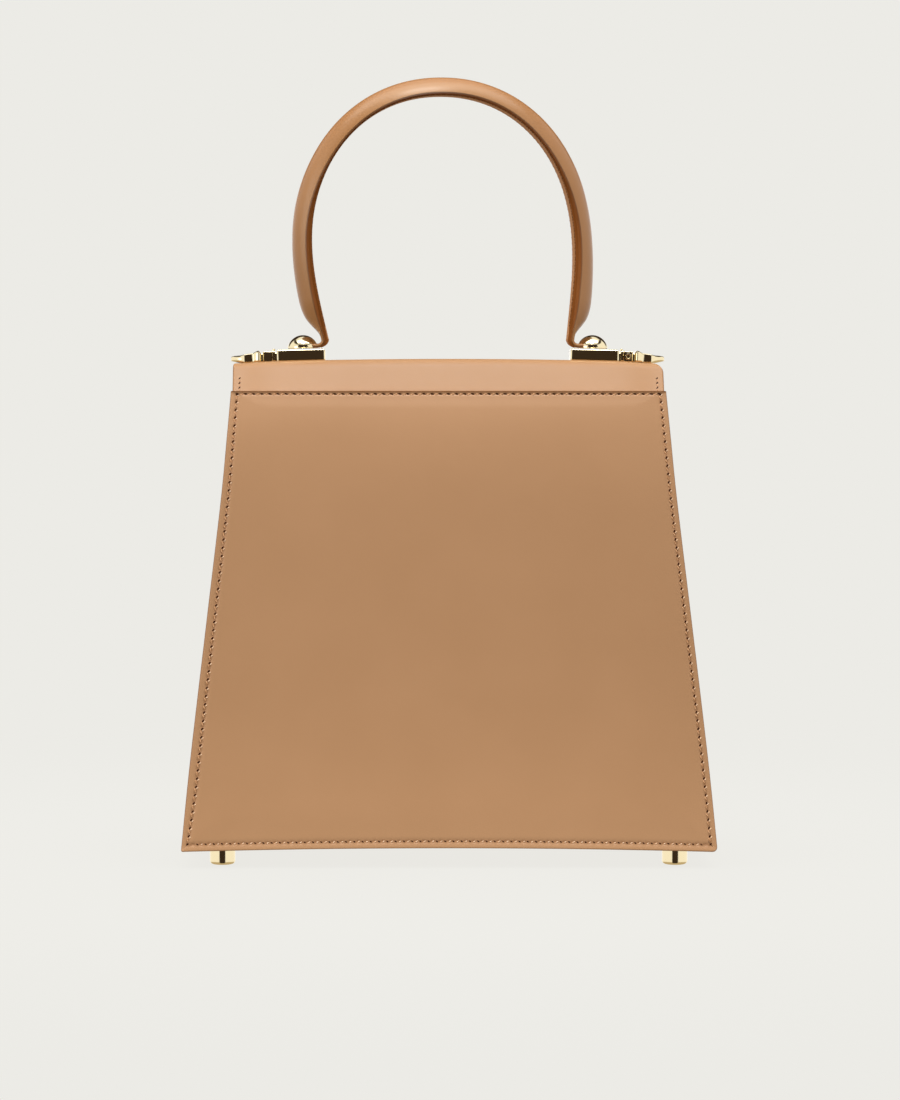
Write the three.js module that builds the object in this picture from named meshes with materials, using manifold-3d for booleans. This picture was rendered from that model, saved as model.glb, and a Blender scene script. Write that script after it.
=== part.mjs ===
// A structured leather handbag with a top handle, as a three.js scene in millimetres.
// +Z is up, -Y is the plain back, +Y is the side that the flap closes on, and the feet stand on z = 0.
import * as THREE from "three";
import { mergeVertices } from "three/addons/utils/BufferGeometryUtils.js";
import Module from "manifold-3d";

const wasm = await Module();
wasm.setup();

// Body
const bottomWidth = 221; // across the panels at their bottom edge
const topWidth = 181; // across the panels at the back panel's top edge
const bottomDepth = 92; // from back to front, outside the panels, at their bottom edge
const topDepth = 40; // the same at the back panel's top edge
const panelBottom = 7; // height of the panels' bottom corners above the floor
const panelTop = 196; // height of the back panel's top edge
const panelThickness = 2.6; // leather turned over a stiffener
const bottomRise = 1.5; // how far the panels' bottom edge arches up at the middle
const frontDrop = 7; // how much lower the front panel ends, under the flap
const seamGap = 0.3; // clearance between pieces that are sewn, glued or screwed together

// Base and gussets
const baseThickness = 2.6;
const baseRecess = 2; // from the panels' bottom corners up to the base's underside
const baseInset = 1.2; // from the panels' side edges to the base's ends
const gussetThickness = 1.8;
const gussetInset = 1.4; // from the panels' side edges to the gusset
const gussetFlange = 8; // turned in along the inside of each panel
const gussetBow = 6; // how far a gusset's middle folds inwards at its top
const gussetPeak = 10; // how much higher a gusset is at its middle than at the panels

// Flap
const flapThickness = 2.2;
const flapInset = 0.55; // from the panels' side edges to the flap's
const flapOverlap = 8; // length of flap sewn under the back panel's top edge
const flapReach = 104; // from the back panel's top edge down to the flap's lower edge
const ridgeRise = 12.7; // from the back panel's top edge up to the middle of the ridge
const ridgeHalfDepth = 9.4; // from the middle of the ridge to where it turns down
const ridgeRound = 2.6; // length that each turn takes on both sides
const ridgeSag = 1.5; // how much lower the ridge is at its ends than at its middle
const ridgeCornerLeft = 1; // radius of the flap's outline where it meets the ridge
const ridgeCornerRight = 3.8;
const flapCornerRadius = 12; // at its lower corners

// Handle
const archHalfWidth = 55; // inside the handle, from the middle to where it is widest
const archHeight = 62.2; // from there up to the inside of its top
const archSquareness = 2.1; // exponent of the arch's curve, 2 for an ellipse
const legHeight = 42.7; // from the hardware up to where the handle is widest
const legOverhang = 1.4; // of the legs' feet past the bars' inner ends
const legFootSlope = 0.17; // their lean where they meet the hardware
const strapWidth = 15; // across the handle, front to back
const strapThickness = 6.4; // leather over the round core
const taperLength = 15.5; // from a leg's foot to where the strap is full
const liningThickness = 1.2;
const tongueWidth = 10;
const tongueThickness = 1.8;
const tongueBend = 1.5; // inner radius where a tongue turns under its stud
const handleLean = -2.5; // sideways, where it is full
const handleTwist = 4.5; // degrees about the upright, where it is full
const settleHeight = 62; // from the legs' feet to where lean and twist are full

// Hardware
const barDepth = 13.6;
const barHeight = 5.2;
const barLength = 39.7;
const barOverhang = 0.5; // of each bar's tip past the panels' top corners
const barBevel = 0.7;
const barBevelLimit = 0.33; // share of the height where a bar is slim
const studRadius = 6.5;
const studHeight = 5.6;
const studFromEnd = 9.4; // from a bar's inner end to its stud's centre
const tonguePastStud = 1.6; // length of tongue past the stud's centre
const footRadius = 5.3;
const footRound = 1.4;
const footFromSide = 16.7; // from the panels' bottom corners to the feet's centres
const footFromFace = 14;
const claspWidth = 26;
const claspHeight = 17;
const claspThickness = 3.4;
const claspCorner = 4;
const claspAboveEdge = 12; // from the flap's lower edge to the clasp's

// The panels by share of their height: shares of the depth and of the width they have lost
const panelLean = [
  { height: 0.0, inset: 0.0, narrow: 0.0 },
  { height: 0.2, inset: 0.14, narrow: 0.19 },
  { height: 0.5, inset: 0.34, narrow: 0.52 },
  { height: 0.76, inset: 0.56, narrow: 0.805 },
  { height: 0.9, inset: 0.76, narrow: 0.925 },
  { height: 1.0, inset: 1.0, narrow: 1.0 },
];

// A bar from its inner end to its tip, as shares of its length, height and depth
const barSections = [
  { at: 0.0, high: 1.0, deep: 1.0 }, // block
  { at: 0.51, high: 1.0, deep: 1.0 },
  { at: 0.51, high: 0.8, deep: 0.82 }, // neck
  { at: 0.528, high: 0.8, deep: 0.82 },
  { at: 0.528, high: 0.97, deep: 0.95 }, // thin ring
  { at: 0.55, high: 0.97, deep: 0.95 },
  { at: 0.55, high: 0.8, deep: 0.82 },
  { at: 0.562, high: 0.8, deep: 0.82 },
  { at: 0.562, high: 0.92, deep: 0.92 }, // collar
  { at: 0.655, high: 0.92, deep: 0.92 },
  { at: 0.655, high: 0.76, deep: 0.78 },
  { at: 0.668, high: 0.76, deep: 0.78 },
  { at: 0.674, high: 0.9, deep: 0.9 }, // bead
  { at: 0.705, high: 0.97, deep: 0.96 },
  { at: 0.736, high: 0.9, deep: 0.9 },
  { at: 0.742, high: 0.72, deep: 0.78 },
  { at: 0.755, high: 0.74, deep: 0.8 }, // finial
  { at: 0.85, high: 0.66, deep: 0.72 },
  { at: 0.93, high: 0.54, deep: 0.52 },
  { at: 0.98, high: 0.42, deep: 0.3 },
  { at: 1.0, high: 0.3, deep: 0.14 },
];

// The handle's section from a leg's foot up: share of the taper's length, of the strap's
// thickness and of its width, share of that width left on its underside, and how square its back is
const strapTaper = [
  { up: 0.0, thick: 0.25, wide: 0.67, under: 0.98, square: 5 },
  { up: 0.16, thick: 0.27, wide: 0.69, under: 0.96, square: 4.6 },
  { up: 0.33, thick: 0.49, wide: 0.76, under: 0.89, square: 3.8 },
  { up: 0.5, thick: 0.71, wide: 0.84, under: 0.84, square: 3.1 },
  { up: 0.68, thick: 0.9, wide: 0.92, under: 0.8, square: 2.7 },
  { up: 1.0, thick: 1.0, wide: 1.0, under: 0.78, square: 2.6 },
];
const strapFlare = 0.17; // share of the strap's thickness where it is widest
const liningShare = 0.94; // of the width of the strap's underside

const panelColumns = 12;
const panelRows = 13;
const flapSteps = [2, 2, 5, 3, 5, 3, 14]; // on each part of its line, from under the back panel
const flapCornerSteps = 7; // more rows down its lower corners
const gussetColumns = 9;
const gussetRows = 9;
const backSides = 12; // of the rounded back of the handle's section
const archSteps = 44;
const legSteps = 12;
const bendSteps = 5; // round a tongue's bend
const domeSteps = 7;
const domeSides = 28;
const footSides = 24;
const cornerSegments = 4; // on the feet's and the clasp's rounded corners

const leather = { color: 0xb98a62, roughness: 0.45, metalness: 0 };
const edgeLeather = { color: 0x9b6d47, roughness: 0.55, metalness: 0 };
const gold = { color: 0xe3c992, roughness: 0.12, metalness: 1 };

const bag = new THREE.Group();

function addMesh(name, geometry, finish, parent = bag) {
  const mesh = new THREE.Mesh(geometry, new THREE.MeshStandardMaterial(finish));
  mesh.name = name;
  parent.add(mesh);
  return mesh;
}

function ramp(value, low, high) {
  return THREE.MathUtils.clamp((value - low) / (high - low), 0, 1);
}

// Value of one column of a table, between its rows
function fromTable(table, key, at, column) {
  const last = table.length - 1;
  if (at >= table[last][key]) return table[last][column];
  const next = Math.max(1, table.findIndex((row) => row[key] > at));
  const [low, high] = [table[next - 1], table[next]];
  return THREE.MathUtils.lerp(low[column], high[column], ramp(at, low[key], high[key]));
}

// One closed body from grids of points: an outer face, an inner face and the rim between them.
// Both faces are functions of two shares, across and along, that return a Vector3.
function wallSolid(columns, rows, outer, inner) {
  const points = [];
  const faces = [];
  for (const face of [outer, inner])
    for (let j = 0; j <= rows; j++)
      for (let i = 0; i <= columns; i++) points.push(face(i / columns, j / rows));
  const at = (side, i, j) => side * (columns + 1) * (rows + 1) + j * (columns + 1) + i;
  const quad = (a, b, c, d) => faces.push(a, b, c, a, c, d);
  for (let j = 0; j < rows; j++)
    for (let i = 0; i < columns; i++) {
      quad(at(0, i, j), at(0, i + 1, j), at(0, i + 1, j + 1), at(0, i, j + 1));
      quad(at(1, i, j), at(1, i, j + 1), at(1, i + 1, j + 1), at(1, i + 1, j));
    }
  for (let i = 0; i < columns; i++) {
    quad(at(0, i, 0), at(1, i, 0), at(1, i + 1, 0), at(0, i + 1, 0));
    quad(at(0, i, rows), at(0, i + 1, rows), at(1, i + 1, rows), at(1, i, rows));
  }
  for (let j = 0; j < rows; j++) {
    quad(at(0, 0, j), at(0, 0, j + 1), at(1, 0, j + 1), at(1, 0, j));
    quad(at(0, columns, j), at(1, columns, j), at(1, columns, j + 1), at(0, columns, j + 1));
  }
  return facingOut(points, faces);
}

// One closed body through convex rings of equally many points
function loftSolid(rings) {
  const sides = rings[0].length;
  const points = rings.flat();
  const faces = [];
  for (let r = 0; r < rings.length - 1; r++)
    for (let i = 0; i < sides; i++) {
      const [a, b] = [r * sides + i, r * sides + ((i + 1) % sides)];
      faces.push(a, b, b + sides, a, b + sides, a + sides);
    }
  const end = (rings.length - 1) * sides;
  for (let i = 1; i < sides - 1; i++) {
    faces.push(0, i + 1, i);
    faces.push(end, end + i, end + i + 1);
  }
  return facingOut(points, faces);
}

// A geometry whose faces all point out, whichever way its points ran
function facingOut(points, faces) {
  let volume = 0;
  const cross = new THREE.Vector3();
  for (let i = 0; i < faces.length; i += 3) {
    const [a, b, c] = [0, 1, 2].map((k) => points[faces[i + k]]);
    volume += a.dot(cross.crossVectors(b, c));
  }
  if (volume < 0) faces.reverse();
  const geometry = new THREE.BufferGeometry().setFromPoints(points);
  geometry.setIndex(faces);
  geometry.computeVertexNormals();
  return geometry;
}

function toManifold(geometry) {
  const plain = geometry.clone();
  plain.deleteAttribute("normal");
  plain.deleteAttribute("uv");
  const merged = mergeVertices(plain, 1e-4);
  const triVerts = new Uint32Array(merged.index.array);
  const vertProperties = merged.attributes.position.array;
  return new wasm.Manifold(new wasm.Mesh({ numProp: 3, vertProperties, triVerts }));
}

function cutAway(geometry, tool) {
  const mesh = toManifold(geometry).subtract(toManifold(tool)).getMesh();
  const cut = new THREE.BufferGeometry();
  cut.setAttribute("position", new THREE.BufferAttribute(mesh.vertProperties, 3));
  cut.setIndex(new THREE.BufferAttribute(mesh.triVerts, 1));
  cut.computeVertexNormals();
  return cut;
}

// The panels' outer corner line: x is half the width, y is half the depth, z is the height
const cornerLine = new THREE.CatmullRomCurve3(
  panelLean.map(
    (row) =>
      new THREE.Vector3(
        THREE.MathUtils.lerp(bottomWidth, topWidth, row.narrow) / 2,
        THREE.MathUtils.lerp(bottomDepth, topDepth, row.inset) / 2,
        THREE.MathUtils.lerp(panelBottom, panelTop, row.height),
      ),
  ),
  false,
  "catmullrom",
);

// Share along the corner line where it reaches a height
function shareAt(z) {
  let [low, high] = [0, 1];
  for (let i = 0; i < 30; i++) {
    const middle = (low + high) / 2;
    if (cornerLine.getPoint(middle).z < z) low = middle;
    else high = middle;
  }
  return (low + high) / 2;
}

function halfWidthAt(z) {
  return cornerLine.getPoint(shareAt(z)).x;
}

// Unit vector along a panel's slope: x is half depth, y is height
function slopeAt(share) {
  const tangent = cornerLine.getTangent(share);
  return new THREE.Vector2(tangent.y, tangent.z).normalize();
}

// A point of the panel's outside moved out by a distance square to it, in half depth and height
function besidePanel(share, out) {
  const corner = cornerLine.getPoint(share);
  const slope = slopeAt(share);
  return new THREE.Vector2(corner.y + slope.y * out, corner.z - slope.x * out);
}

// A front or back panel, from its arched bottom edge to a given height
function panelGeometry(side, top) {
  const lastShare = shareAt(top);
  const bottomShare = (across) => shareAt(panelBottom + bottomRise * (1 - (2 * across - 1) ** 4));
  const face = (out) => (across, along) => {
    const share = THREE.MathUtils.lerp(bottomShare(across), lastShare, along);
    const point = besidePanel(share, out);
    return new THREE.Vector3((2 * across - 1) * cornerLine.getPoint(share).x, side * point.x, point.y);
  };
  return wallSolid(panelColumns, panelRows, face(0), face(-panelThickness));
}

addMesh("back_panel", panelGeometry(-1, panelTop), leather);
addMesh("front_panel", panelGeometry(1, panelTop - frontDrop), leather);

// Base: a leather-covered board between the panels, as deep as they leave room at its upper face
const insideDepth = (z) => besidePanel(shareAt(z), -panelThickness - seamGap).x;
const baseHeight = panelBottom + baseRecess;
const baseTop = baseHeight + baseThickness;
const base = new THREE.BoxGeometry(
  2 * (halfWidthAt(baseTop) - baseInset),
  2 * insideDepth(baseTop),
  baseThickness,
);
base.translate(0, 0, baseHeight + baseThickness / 2);
addMesh("base_panel", base, edgeLeather);

// Gusset: two flanges against the panels and a web between them that bows in towards the top
function gussetGeometry(side) {
  const firstShare = shareAt(baseTop + seamGap);
  const lastShare = shareAt(panelTop - flapOverlap - flapThickness);
  const flangeColumn = 1 / gussetColumns;
  const face = (inward) => (across, along) => {
    const share = THREE.MathUtils.lerp(firstShare, lastShare, along);
    const wall = besidePanel(share, -panelThickness - seamGap);
    const edge = halfWidthAt(wall.y) - gussetInset;
    const depth = wall.x - inward;
    if (across < flangeColumn / 2 || across > 1 - flangeColumn / 2) {
      const flangeY = across < 0.5 ? -depth : depth;
      return new THREE.Vector3(side * (edge - gussetFlange), flangeY, wall.y);
    }
    const web = THREE.MathUtils.mapLinear(across, flangeColumn, 1 - flangeColumn, -1, 1);
    const middle = Math.cos((web * Math.PI) / 2) ** 2 * along;
    return new THREE.Vector3(
      side * (edge - inward - gussetBow * middle),
      web * depth,
      wall.y + gussetPeak * middle * along,
    );
  };
  return wallSolid(gussetColumns, gussetRows, face(0), face(gussetThickness));
}

addMesh("gusset_left", gussetGeometry(-1), leather);
addMesh("gusset_right", gussetGeometry(1), leather);

// Flap: the outer line of its section, from under the back panel over the ridge to its lower edge
const ridgeTop = panelTop + ridgeRise;
const flapEnd = panelTop - flapReach;
const flapLine = new THREE.CurvePath();
{
  const under = -panelThickness - seamGap;
  const over = seamGap + flapThickness;
  const onBack = (z) => {
    const point = besidePanel(shareAt(z), under);
    return new THREE.Vector2(-point.x, point.y);
  };
  const onFront = (z) => besidePanel(shareAt(z), over);
  const corner = new THREE.Vector2(ridgeHalfDepth, ridgeTop);
  const turnOn = (from, towards) => {
    const step = towards.clone().sub(from).setLength(ridgeRound);
    return from.clone().add(step);
  };
  const backCorner = new THREE.Vector2(-corner.x, corner.y);
  const backTop = onBack(panelTop);
  const frontTop = onFront(panelTop - frontDrop);
  const backPoints = [onBack(panelTop - flapOverlap), onBack(panelTop - flapOverlap / 2), backTop];
  const frontPoints = [];
  for (let i = 0; i <= panelColumns; i++)
    frontPoints.push(onFront(THREE.MathUtils.lerp(panelTop - frontDrop, flapEnd, i / panelColumns)));
  const turns = [
    turnOn(backCorner, backTop),
    turnOn(backCorner, corner),
    turnOn(corner, backCorner),
    turnOn(corner, frontTop),
  ];
  flapLine.add(new THREE.SplineCurve(backPoints));
  flapLine.add(new THREE.LineCurve(backTop, turns[0]));
  flapLine.add(new THREE.QuadraticBezierCurve(turns[0], backCorner, turns[1]));
  flapLine.add(new THREE.LineCurve(turns[1], turns[2]));
  flapLine.add(new THREE.QuadraticBezierCurve(turns[2], corner, turns[3]));
  flapLine.add(new THREE.LineCurve(turns[3], frontTop));
  flapLine.add(new THREE.SplineCurve(frontPoints));
}

// How much lower the flap is than at its middle: most at the ridge's ends
function ridgeDrop(x, z) {
  return ridgeSag * ramp(z, panelTop - frontDrop, ridgeTop) * ((2 * x) / topWidth) ** 2;
}

// How far a rounded corner of a given radius cuts into an edge, at a distance from its end
function cornerCut(radius, fromEnd) {
  const into = Math.max(0, radius - fromEnd);
  return radius - Math.sqrt(radius ** 2 - into ** 2);
}

// The flap's rows as distances from its lower edge, closer together where it turns or is rounded
function flapDistances() {
  const distances = [];
  let left = flapLine.getLength();
  flapLine.curves.forEach((curve, k) => {
    const length = curve.getLength();
    for (let i = 0; i < flapSteps[k]; i++) distances.push(left - (length * i) / flapSteps[k]);
    left -= length;
  });
  const above = distances.filter((distance) => distance > flapCornerRadius);
  for (let i = 0; i <= flapCornerSteps; i++) {
    const angle = (Math.PI / 2) * (i / flapCornerSteps);
    above.push(flapCornerRadius * (1 - Math.sin(angle)));
  }
  return above;
}

function flapGeometry() {
  const wholeLength = flapLine.getLength();
  const distances = flapDistances();
  const rows = distances.length - 1;
  const face = (out) => (across, along) => {
    const fromEnd = distances[Math.round(along * rows)];
    const point = flapLine.getPointAt(1 - fromEnd / wholeLength);
    const tangent = flapLine.getTangentAt(1 - fromEnd / wholeLength);
    const lowerCut = cornerCut(flapCornerRadius, fromEnd);
    const ridgeCorner = across < 0.5 ? ridgeCornerLeft : ridgeCornerRight;
    const ridgeCut = cornerCut(ridgeCorner, Math.max(0, ridgeTop - point.y));
    const halfWidth = halfWidthAt(Math.min(point.y, panelTop)) - flapInset - lowerCut - ridgeCut;
    const x = (2 * across - 1) * halfWidth;
    const z = point.y + tangent.x * out - ridgeDrop(x, point.y);
    return new THREE.Vector3(x, point.x - tangent.y * out, z);
  };
  return wallSolid(panelColumns, rows, face(0), face(-flapThickness));
}

addMesh("flap", flapGeometry(), leather);

// Handle: the line along the inside of its lining, from one foot to the other
const barInnerEnd = topWidth / 2 + barOverhang - barLength; // from the middle of the bag
const barFoot = ridgeTop + seamGap - ridgeDrop(barInnerEnd, ridgeTop);
const barTilt = Math.atan((2 * ridgeSag * (barInnerEnd + barLength / 2)) / (topWidth / 2) ** 2);
const tongueHeight = barFoot + barHeight + seamGap;
const legFootHeight = tongueHeight + tongueThickness + tongueBend;
const legFootX = barInnerEnd - legOverhang;
const archCentreHeight = tongueHeight + legHeight;

function insideLine() {
  const rise = archCentreHeight - legFootHeight;
  const leg = new THREE.CubicBezierCurve(
    new THREE.Vector2(legFootX, legFootHeight),
    new THREE.Vector2(legFootX + (legFootSlope * rise) / 3, legFootHeight + rise / 3),
    new THREE.Vector2(archHalfWidth, archCentreHeight - rise / 3),
    new THREE.Vector2(archHalfWidth, archCentreHeight),
  );
  const right = leg.getPoints(legSteps);
  const points = right.map((p) => new THREE.Vector2(-p.x, p.y));
  const power = 2 / archSquareness;
  for (let i = 1; i < archSteps; i++) {
    const angle = Math.PI * (1 - i / archSteps);
    const x = archHalfWidth * Math.sign(Math.cos(angle)) * Math.abs(Math.cos(angle)) ** power;
    points.push(new THREE.Vector2(x, archCentreHeight + archHeight * Math.sin(angle) ** power));
  }
  return points.concat(right.reverse());
}

// Moves a point of the handle to where it stands: the arch leans and twists a little
function settled(point) {
  const share = Math.sin((ramp(point.z, legFootHeight, legFootHeight + settleHeight) * Math.PI) / 2);
  const turned = point.clone();
  turned.applyAxisAngle(new THREE.Vector3(0, 0, 1), THREE.MathUtils.degToRad(handleTwist) * share);
  turned.x += handleLean * share;
  return turned;
}

// Unit vectors away from the loop, square to a line of 2D points
function normalsOf(line) {
  return line.map((_, i) => {
    const next = line[Math.min(i + 1, line.length - 1)];
    const previous = line[Math.max(i - 1, 0)];
    const along = next.clone().sub(previous).normalize();
    return new THREE.Vector2(-along.y, along.x);
  });
}

// A ring of the strap's section: a flat underside towards the loop, flared sides, a rounded back
function strapRing(foot, normal, low, section) {
  const { thick, wide, under, square } = section;
  const flare = thick * strapFlare;
  const outline = [];
  for (let i = 0; i <= backSides; i++) {
    const angle = (Math.PI * i) / backSides;
    const across = Math.sign(Math.cos(angle)) * Math.abs(Math.cos(angle)) ** (2 / square);
    const up = Math.abs(Math.sin(angle)) ** (2 / square);
    outline.push([(across * wide) / 2, THREE.MathUtils.lerp(flare, thick, up)]);
  }
  outline.push([(-under * wide) / 2, 0], [(under * wide) / 2, 0]);
  return outline.map(([y, height]) => {
    const place = foot.clone().addScaledVector(normal, low + height);
    return settled(new THREE.Vector3(place.x, y, place.y));
  });
}

// How far along the taper each point of a line is, counted from the nearer end
function taperShares(line) {
  const up = [0];
  for (let i = 1; i < line.length; i++) up.push(up[i - 1] + line[i].distanceTo(line[i - 1]));
  const whole = up[up.length - 1];
  return up.map((distance) => Math.min(distance, whole - distance) / taperLength);
}

// The strap's section at a share of the taper
function sectionAt(up) {
  return {
    thick: strapThickness * fromTable(strapTaper, "up", up, "thick"),
    wide: strapWidth * fromTable(strapTaper, "up", up, "wide"),
    under: fromTable(strapTaper, "up", up, "under"),
    square: fromTable(strapTaper, "up", up, "square"),
  };
}

function handleGeometry() {
  const line = insideLine();
  const normals = normalsOf(line);
  const up = taperShares(line);
  const low = liningThickness + seamGap;
  const rings = line.map((foot, i) => strapRing(foot, normals[i], low, sectionAt(up[i])));
  return loftSolid([...tongueRings(-1, low), ...rings, ...tongueRings(1, low).reverse()]);
}

// Rings of one tongue, from its end under the stud round the bend to the leg's foot
function tongueRings(side, low) {
  const startAngle = Math.atan(legFootSlope);
  const outer = tongueBend + tongueThickness;
  const pivotX = side * (legFootX + (low + outer) * Math.cos(startAngle));
  const bendHeight = tongueHeight + outer;
  const section = { ...strapTaper[0], thick: tongueThickness, wide: tongueWidth };
  const endX = barInnerEnd + studFromEnd + tonguePastStud;
  const sections = [{ x: side * endX, angle: Math.PI / 2 }];
  for (let i = bendSteps; i > 0; i--) {
    const angle = THREE.MathUtils.lerp(-startAngle, Math.PI / 2, i / (bendSteps + 1));
    sections.push({ x: pivotX, angle });
  }
  return sections.map(({ x, angle }) => {
    const normal = new THREE.Vector2(side * Math.cos(angle), Math.sin(angle));
    const foot = new THREE.Vector2(x, bendHeight).addScaledVector(normal, -outer);
    return strapRing(foot, normal, 0, section);
  });
}

addMesh("handle", handleGeometry(), leather);

function liningGeometry() {
  const line = insideLine();
  const normals = normalsOf(line);
  const up = taperShares(line);
  const face = (height) => (across, along) => {
    const i = Math.round(along * (line.length - 1));
    const { wide, under } = sectionAt(up[i]);
    const width = wide * under * liningShare;
    const place = line[i].clone().addScaledVector(normals[i], height);
    return settled(new THREE.Vector3(place.x, (across - 0.5) * width, place.y));
  };
  return wallSolid(2, line.length - 1, face(liningThickness), face(0));
}

addMesh("handle_lining", liningGeometry(), edgeLeather);

// One end bar along +X from its inner end, its underside on z = 0
function barGeometry() {
  const rings = barSections.map((row) => {
    const [x, high, half] = [row.at * barLength, row.high * barHeight, (row.deep * barDepth) / 2];
    const bevel = Math.min(barBevel, barBevelLimit * high, barBevelLimit * half);
    const outline = [
      [half - bevel, 0],
      [half, bevel],
      [half, high - bevel],
      [half - bevel, high],
      [bevel - half, high],
      [-half, high - bevel],
      [-half, bevel],
      [bevel - half, 0],
    ];
    return outline.map(([y, z]) => new THREE.Vector3(x, y, z));
  });
  return loftSolid(rings);
}

// A domed stud whose base is slotted on its inner side for the handle's tongue
function studGeometry() {
  const sphereRadius = (studRadius ** 2 + studHeight ** 2) / (2 * studHeight);
  const rim = Math.asin(studRadius / sphereRadius);
  const profile = [new THREE.Vector2(0, 0)];
  for (let i = 0; i <= domeSteps; i++) {
    const angle = rim * (1 - i / domeSteps);
    const x = i === domeSteps ? 0 : sphereRadius * Math.sin(angle);
    profile.push(new THREE.Vector2(x, sphereRadius * (Math.cos(angle) - Math.cos(rim))));
  }
  const dome = new THREE.LatheGeometry(profile, domeSides);
  dome.rotateX(Math.PI / 2);
  const slotLength = 2 * studRadius;
  const slotHeight = tongueThickness + 2 * seamGap;
  const slot = new THREE.BoxGeometry(slotLength, tongueWidth + 2 * seamGap, 2 * slotHeight);
  slot.translate(tonguePastStud + seamGap - slotLength / 2, 0, 0);
  return cutAway(dome, slot);
}

for (const [word, side] of [["left", -1], ["right", 1]]) {
  const place = new THREE.Group();
  place.position.set(side * barInnerEnd, 0, barFoot);
  place.rotation.set(0, side * barTilt, side < 0 ? Math.PI : 0, "YXZ");
  bag.add(place);
  addMesh(`end_bar_${word}`, barGeometry(), gold, place);
  const stud = addMesh(`dome_stud_${word}`, studGeometry(), gold, place);
  stud.position.set(studFromEnd, 0, barHeight + seamGap);
}

// Feet: turned, with a flat sole
function footGeometry() {
  const height = baseHeight - seamGap;
  const profile = new THREE.Path();
  profile.moveTo(0, 0);
  profile.lineTo(footRadius - footRound, 0);
  profile.absarc(footRadius - footRound, footRound, footRound, -Math.PI / 2, 0);
  profile.lineTo(footRadius, height);
  profile.lineTo(0, height);
  const foot = new THREE.LatheGeometry(profile.getPoints(cornerSegments), footSides);
  return foot.rotateX(Math.PI / 2);
}

const footX = bottomWidth / 2 - footFromSide;
const footY = bottomDepth / 2 - footFromFace;
for (const [row, y] of [["back", -footY], ["front", footY]])
  for (const [word, x] of [["left", -footX], ["right", footX]])
    addMesh(`foot_${row}_${word}`, footGeometry(), gold).position.set(x, y, 0);

// Clasp: one plain plate on the flap's front
function claspGeometry() {
  const [x, y] = [claspWidth / 2, claspHeight / 2];
  const outline = new THREE.Shape();
  outline.moveTo(-x + claspCorner, -y);
  outline.lineTo(x - claspCorner, -y);
  outline.absarc(x - claspCorner, -y + claspCorner, claspCorner, -Math.PI / 2, 0);
  outline.lineTo(x, y - claspCorner);
  outline.absarc(x - claspCorner, y - claspCorner, claspCorner, 0, Math.PI / 2);
  outline.lineTo(-x + claspCorner, y);
  outline.absarc(-x + claspCorner, y - claspCorner, claspCorner, Math.PI / 2, Math.PI);
  outline.lineTo(-x, -y + claspCorner);
  outline.absarc(-x + claspCorner, -y + claspCorner, claspCorner, Math.PI, 1.5 * Math.PI);
  return new THREE.ExtrudeGeometry(outline, {
    depth: claspThickness,
    bevelEnabled: false,
    curveSegments: cornerSegments,
  });
}

{
  const share = shareAt(flapEnd + claspAboveEdge + claspHeight / 2);
  const seat = besidePanel(share, flapThickness + 2 * seamGap);
  const slope = slopeAt(share);
  const across = new THREE.Vector3(-1, 0, 0);
  const up = new THREE.Vector3(0, slope.x, slope.y);
  const out = new THREE.Vector3().crossVectors(across, up);
  const clasp = addMesh("clasp", claspGeometry(), gold);
  clasp.position.set(0, seat.x, seat.y);
  clasp.setRotationFromMatrix(new THREE.Matrix4().makeBasis(across, up, out));
}

export default bag;
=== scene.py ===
import math

import bmesh
import bpy
import numpy as np
from mathutils import Matrix, Vector
from mathutils.geometry import interpolate_bezier


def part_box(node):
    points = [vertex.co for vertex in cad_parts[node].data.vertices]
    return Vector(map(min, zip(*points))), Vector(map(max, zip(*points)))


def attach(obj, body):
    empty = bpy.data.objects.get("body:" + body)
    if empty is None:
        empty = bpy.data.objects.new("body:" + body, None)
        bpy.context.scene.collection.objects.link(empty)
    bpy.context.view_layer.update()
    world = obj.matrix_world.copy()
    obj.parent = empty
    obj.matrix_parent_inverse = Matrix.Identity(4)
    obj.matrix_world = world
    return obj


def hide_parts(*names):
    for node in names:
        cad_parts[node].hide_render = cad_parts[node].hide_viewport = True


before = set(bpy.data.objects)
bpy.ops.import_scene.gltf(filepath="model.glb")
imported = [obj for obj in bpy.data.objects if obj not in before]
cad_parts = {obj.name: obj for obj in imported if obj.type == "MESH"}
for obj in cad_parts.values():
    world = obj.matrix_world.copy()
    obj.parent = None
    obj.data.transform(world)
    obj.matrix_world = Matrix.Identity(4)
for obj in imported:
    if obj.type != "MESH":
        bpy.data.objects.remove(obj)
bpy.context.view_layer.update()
print("frame loaded:", len(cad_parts), "nodes")

# Lengths below are in millimetres; finishPiece turns them into metres
backLow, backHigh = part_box("back_panel")
bag = {
    "bottomWidth": 1000 * (backHigh[0] - backLow[0]),
    "topWidth": 181,
    "bottomDepth": -2000 * backLow[1],
    "topDepth": 40,
    "panelBottom": 1000 * backLow[2],
    "panelTop": 1000 * backHigh[2],
    "bottomRise": 1.5,
    "panelThickness": 2.6,
    "frontDrop": 7,
    "gap": 0.3,
}
# Panels by share of their height: shares of the depth and of the width they have lost
panelLean = [
    (0.0, 0.0, 0.0), (0.2, 0.14, 0.19), (0.5, 0.34, 0.52),
    (0.76, 0.56, 0.805), (0.9, 0.76, 0.925), (1.0, 1.0, 1.0),
]


def mix(low, high, share):
    return low + (high - low) * share


def smoothShare(value, low, high):  # 0 to 1 with a soft start and end
    share = min(max((value - low) / (high - low), 0), 1)
    return share * share * (3 - 2 * share)


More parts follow.
